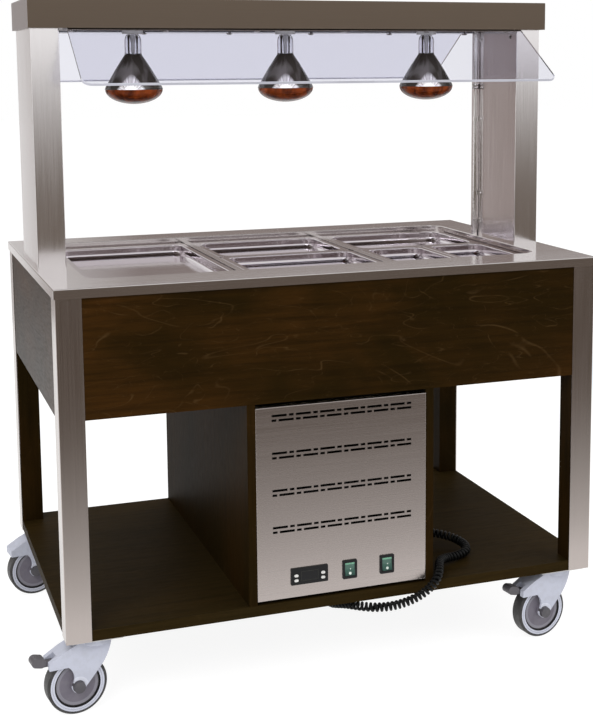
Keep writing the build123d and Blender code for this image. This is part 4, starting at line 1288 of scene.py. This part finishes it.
@dataclass
class SmallFittings:
    """Pilot marks on the rockers, the display's frame, column screws and the conduit's coupling.

    A mark has a name, a radius, and how far aside and how far down from the rocker's middle it is.
    The coupling's half profile gives how far each ring is in from its radius, and its height.
    """

    marks: tuple[tuple[str, float, float, float], ...] = (
        ("window", 0.0030, 0.0, 0.0085), ("dot", 0.0013, 0.0012, -0.0005))
    mark_height: float = 0.0006
    dome_foot: float = 0.0006
    dome_straight: float = 0.4
    dome_top: float = 0.05
    clear: float = 0.05
    lip_lap: float = 0.0016
    lip_width: float = 0.0014
    lip_height: float = 0.0010
    lip_round: float = 0.0003
    screw: Pair = (0.0042, 0.0022)
    screw_y: float = 0.088
    screw_drop: float = 0.018
    coupling_z: float = 1.258
    coupling: float = 0.0078
    coupling_half: Profile = ((0.0016, 0.007), (0.0004, 0.007), (0.0, 0.0062), (0.0, 0.001))
    coupling_groove: float = 0.0005

    def on_face(self, node: str, start: Point, way: Point) -> Matrix:
        """Find where a line meets a node, as a place whose upright axis leaves the surface.

        Args:
            node: The node.
            start: A point outside it.
            way: The line's direction.

        Returns:
            The place on the surface.
        """
        _, spot, normal, _ = frame["nodes"][node].ray_cast(Vector(start), Vector(way))
        return Matrix.Translation(spot) @ normal.to_track_quat("Z", "Y").to_matrix().to_4x4()

    def dome(self, name: str, radius: float, height: float) -> bpy.types.Object:
        """Model a low dome with a straight foot.

        Args:
            name: Its name.
            radius: Its radius.
            height: Its height.

        Returns:
            The dome, with its foot a little below the origin.
        """
        rings = [(radius, -self.dome_foot)]
        for turn in map(math.radians, range(0, 90, 15)):
            up = self.dome_straight + (1 - self.dome_straight) * math.sin(turn)
            rings.append((radius * math.cos(turn), height * up))
        return turned(name, rings + [(radius * self.dome_top, height)], 28)

    def pilots(self) -> None:
        """Set a pilot window and a dot in each rocker."""
        white = Moulded("pilot_white", (0.70, 0.78, 0.72), 0.3, 400.0, 0.00001)
        for rocker in ROCKERS:
            low, high = (Vector(corner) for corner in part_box(rocker))
            middle = (low + high) / 2
            for name, radius, aside, down in self.marks:
                start = (middle.x + aside, low.y - self.clear, middle.z - down)
                place = self.on_face(rocker, start, (0.0, 1.0, 0.0))
                mark = self.dome(f"{rocker}_{name}", radius, self.mark_height)
                fit(set_out(mark, [place]), white, rocker)

    def display(self) -> None:
        """Frame the display with a thin raised lip."""
        low, high = (Vector(corner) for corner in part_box("thermostat_lens"))
        middle, size = (low + high) / 2, high - low
        lip = flat("display_lip", (size.x + self.lip_lap, size.z + self.lip_lap),
                   (middle.x, low.y, middle.z), math.pi / 2)
        bpy.ops.object.mode_set(mode="EDIT")
        bpy.ops.mesh.select_all(action="SELECT")
        bpy.ops.mesh.inset(thickness=self.lip_width)
        bpy.ops.mesh.delete(type="FACE")
        bpy.ops.object.mode_set(mode="OBJECT")
        thicken(lip, self.lip_height, 0.0)
        soften = lip.modifiers.new("soften", "BEVEL")
        soften.width, soften.segments = self.lip_round, 2
        bpy.ops.object.modifier_apply(modifier="soften")
        black = Moulded("display_lip", (0.022, 0.022, 0.019), 0.35, 800.0, 0.00003, gloss=0.3)
        fit([lip], black)

    def screws(self) -> None:
        """Screw the columns to the beam on their inner faces."""
        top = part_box("column_right")[1][2] - self.screw_drop
        places = []
        for node, way in (("column_left", -1.0), ("column_right", 1.0)):
            for y in (-self.screw_y, self.screw_y):
                places.append(self.on_face(node, (0.0, y, top), (way, 0.0, 0.0)))
        steel = PlainMetal("column_screw", (0.34, 0.32, 0.31), 0.3)
        fit(set_out(self.dome("column_screw", *self.screw), places), steel)

    def tube_coupling(self) -> None:
        """Slip a coupling with a groove round its middle over the conduit."""
        low, high = (Vector(corner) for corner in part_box("conduit"))
        lower = [(self.coupling - inwards, -up) for inwards, up in self.coupling_half]
        groove = (self.coupling - self.coupling_groove, 0.0)
        upper = [(radius, -down) for radius, down in reversed(lower)]
        sleeve = turned("conduit_coupling", [*lower, groove, *upper], 40)
        middle = (low + high) / 2
        place = Matrix.Translation((middle.x, middle.y, self.coupling_z))
        steel = PlainMetal("coupling_steel", (0.55, 0.53, 0.52), 0.25)
        fit(set_out(sleeve, [place]), steel)

    def build(self) -> None:
        """Make all the small fittings."""
        self.pilots()
        self.display()
        self.screws()
        self.tube_coupling()


@dataclass
class Wardrobe:
    """Finishes for the nodes of the construction."""

    casters: tuple[str, ...] = ("front_left", "front_right", "rear_left", "rear_right")
    pans: tuple[str, ...] = ("left", "middle_front", "middle_rear", "right_rear",
                             "right_front_inner", "right_front_outer")
    keys: tuple[str, ...] = ("up_left", "up_right", "down_left", "down_right")
    panes: tuple[str, ...] = ("glass_front", "glass_rear")
    # Lighter steel colour of the beam's folded ends; its front colour is a painted dark reflection.
    canopy_end_unshaded: Colour = (0.60, 0.58, 0.585)
    canopy_end_skin: float = 0.0005
    wheel_bands: Bands = (
        (0.0, (0.10, 0.095, 0.10)), (0.2, (0.175, 0.16, 0.195)), (0.60, (0.26, 0.25, 0.29)),
        (0.70, (0.03, 0.028, 0.03)), (0.768, (0.64, 0.66, 0.76)), (0.825, (0.38, 0.39, 0.46)),
        (0.84, (0.64, 0.66, 0.76)), (0.90, (0.040, 0.038, 0.038)))
    fork_bands: Bands = (
        (0.0, (0.09, 0.085, 0.095)), (0.205, (0.72, 0.74, 0.84)), (0.33, (0.58, 0.60, 0.70)))

    def wear(self, finish: Finish, *nodes: str) -> None:
        """Put one finish on nodes.

        Args:
            finish: The finish.
            nodes: The nodes' names.
        """
        material = finish.material()
        for node in nodes:
            for slot in frame["nodes"][node].material_slots:
                slot.material = material
            log.info("%s wears %s", node, material.name)

    def steel(self) -> None:
        """Dress the sheet steel and its tubes and screws."""
        length, depth, height = Grain.LENGTH, Grain.DEPTH, Grain.HEIGHT
        self.wear(BrushedSteel("worktop_steel", length, (0.63, 0.59, 0.58), 0.14, 0.025, 0.000008),
                  "top_plate")
        self.wear(BrushedSteel("leg_steel", height, (0.48, 0.43, 0.405), 0.22, 0.02, 0.00002),
                  "leg_angles")
        self.wear(BrushedSteel("column_steel", height, (0.86, 0.83, 0.835), 0.16, 0.02, 0.000015),
                  "column_left", "column_right")
        # Beam front coloured darker as a painted dark reflection, with its folded ends kept
        # lighter.
        end_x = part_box("canopy_shell")[1][0] - self.canopy_end_skin
        self.wear(BrushedSteel("canopy_steel", length, (0.16, 0.124, 0.095), 0.34,
                               end=self.canopy_end_unshaded, end_x=end_x), "canopy_shell")
        # Beam underside darkened as painted shade, so that the lamp cones show it dark.
        self.wear(BrushedSteel("canopy_floor_painted_shade", length, (0.16, 0.14, 0.125), 0.3),
                  "canopy_base")
        self.wear(BrushedSteel("panel_steel", length, (0.46, 0.41, 0.39), 0.25, 0.012, 0.00002),
                  "front_service_panel", "rear_service_panel")
        self.wear(BrushedSteel("pan_steel", length, (0.60, 0.555, 0.575), 0.085, 0.02, 0.000006),
                  "well_tank", *(f"pan_{name}" for name in self.pans))
        self.wear(BrushedSteel("bar_steel", depth, (0.60, 0.565, 0.56), 0.14, 0.03, 0.000008),
                  "well_crossbars")
        self.wear(PlainMetal("tube_steel", (0.84, 0.82, 0.81), 0.12), "conduit", "conduit_clips")
        self.wear(PlainMetal("screw_steel", (0.40, 0.38, 0.38), 0.25), "glass_screws")

    def wood(self) -> None:
        """Dress the boards and posts."""
        self.wear(StainedVeneer("apron_veneer", Grain.LENGTH), "apron_front", "apron_rear")
        self.wear(StainedVeneer("end_veneer", Grain.DEPTH, gloss=0.3), "apron_left", "apron_right")
        self.wear(StainedVeneer("shelf_veneer", Grain.LENGTH, (0.026, 0.0165, 0.0050),
                                (0.032, 0.019, 0.0055), gloss=0.015, veined=0.25), "base_shelf")
        self.wear(StainedVeneer("upright_veneer", Grain.HEIGHT, (0.016, 0.0095, 0.0025),
                                (0.026, 0.0125, 0.003), gloss=0.01, veined=0.25),
                  "dividers", "corner_posts")

    def guards(self) -> None:
        """Dress the lamp holders and the guards."""
        self.wear(Moulded("socket_ceramic", (0.72, 0.71, 0.72), 0.18, 300.0, 0.00002, 0.6),
                  "lamp_sockets")
        self.wear(GuardGlass("guard_glass"), *self.panes)
        for pane in self.panes:
            frame["nodes"][pane].visible_shadow = False

    def controls(self) -> None:
        """Dress the thermostat, its keys and the switches."""
        self.wear(Moulded("control_black", (0.008, 0.008, 0.009), 0.34, 800.0, 0.00004, gloss=0.25),
                  "thermostat_case", "rocker_frames")
        self.wear(Moulded("display_lens", (0.004, 0.004, 0.005), 0.12, 200.0, 0.0, gloss=0.3),
                  "thermostat_lens")
        self.wear(Moulded("key_white", (0.74, 0.73, 0.71), 0.4, 500.0, 0.00003),
                  *(f"key_{name}" for name in self.keys))
        low, high = (corner[2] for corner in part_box(ROCKERS[0]))
        self.wear(RockerWithPaintedHighlight("rocker_green", low, high), *ROCKERS)

    def running_gear(self) -> None:
        """Dress the casters."""
        self.wear(Moulded("pedal_grey", (0.115, 0.108, 0.118), 0.42, 420.0, 0.0001, gloss=0.3),
                  "pedal_front_left", "pedal_front_right")
        self.wear(PlainMetal("plate_zinc", (0.58, 0.57, 0.56), 0.32), "caster_plates")
        joints = {joint["name"]: joint for joint in frame["joints"]}
        for name in self.casters:
            joint = joints[f"roll_{name}"]
            axle = tuple(joint["pos_m"])
            yaw = math.atan2(joint["axis"][1], joint["axis"][0]) - math.pi / 2
            for piece, bands in (("wheel", self.wheel_bands), ("fork", self.fork_bands)):
                self.wear(AxleBands(f"{piece}_bands_{name}", axle, yaw, bands), f"{piece}_{name}")

    def cooling(self) -> None:
        """Dress the cold well's works and the mains fittings."""
        self.wear(Moulded("foam", (0.62, 0.55, 0.38), 0.8, 300.0, 0.0006), "well_insulation")
        self.wear(PlainMetal("copper", (0.66, 0.30, 0.17), 0.3), "evaporator_coil")
        self.wear(Moulded("compressor_black", (0.016, 0.016, 0.017), 0.4, 300.0, 0.0002),
                  "compressor")
        # Condenser and fan frame darkened as painted shade, the dark inside of the housing seen
        # through the vents.
        self.wear(PlainMetal("condenser_aluminium", (0.07, 0.07, 0.073), 0.5), "condenser")
        self.wear(PlainMetal("fan_steel", (0.08, 0.08, 0.082), 0.5), "fan_frame")
        self.wear(Moulded("fan_plastic", (0.03, 0.03, 0.032), 0.4), "fan_rotor")
        self.wear(Moulded("mains_black", (0.009, 0.009, 0.010), 0.4, 600.0, 0.0001, gloss=0.25),
                  "cord_gland", "plug", "plug_holder")

    def build(self) -> None:
        """Dress every node."""
        self.steel()
        self.wood()
        self.guards()
        self.controls()
        self.running_gear()
        self.cooling()


def main() -> None:
    """Build the studio, the lead, the finishes, the lamps and the fittings in order."""
    logging.basicConfig(level=logging.INFO, format="%(name)s: %(message)s")
    Studio().build()
    lead = CurlyLead().build()
    log.info("%s made", lead.name)
    Wardrobe().build()
    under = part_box("canopy_base")[0][2]
    HeatLamps(under).build()
    GuardEdges(under).build()
    SmallFittings().build()


if __name__ == "__main__":
    main()
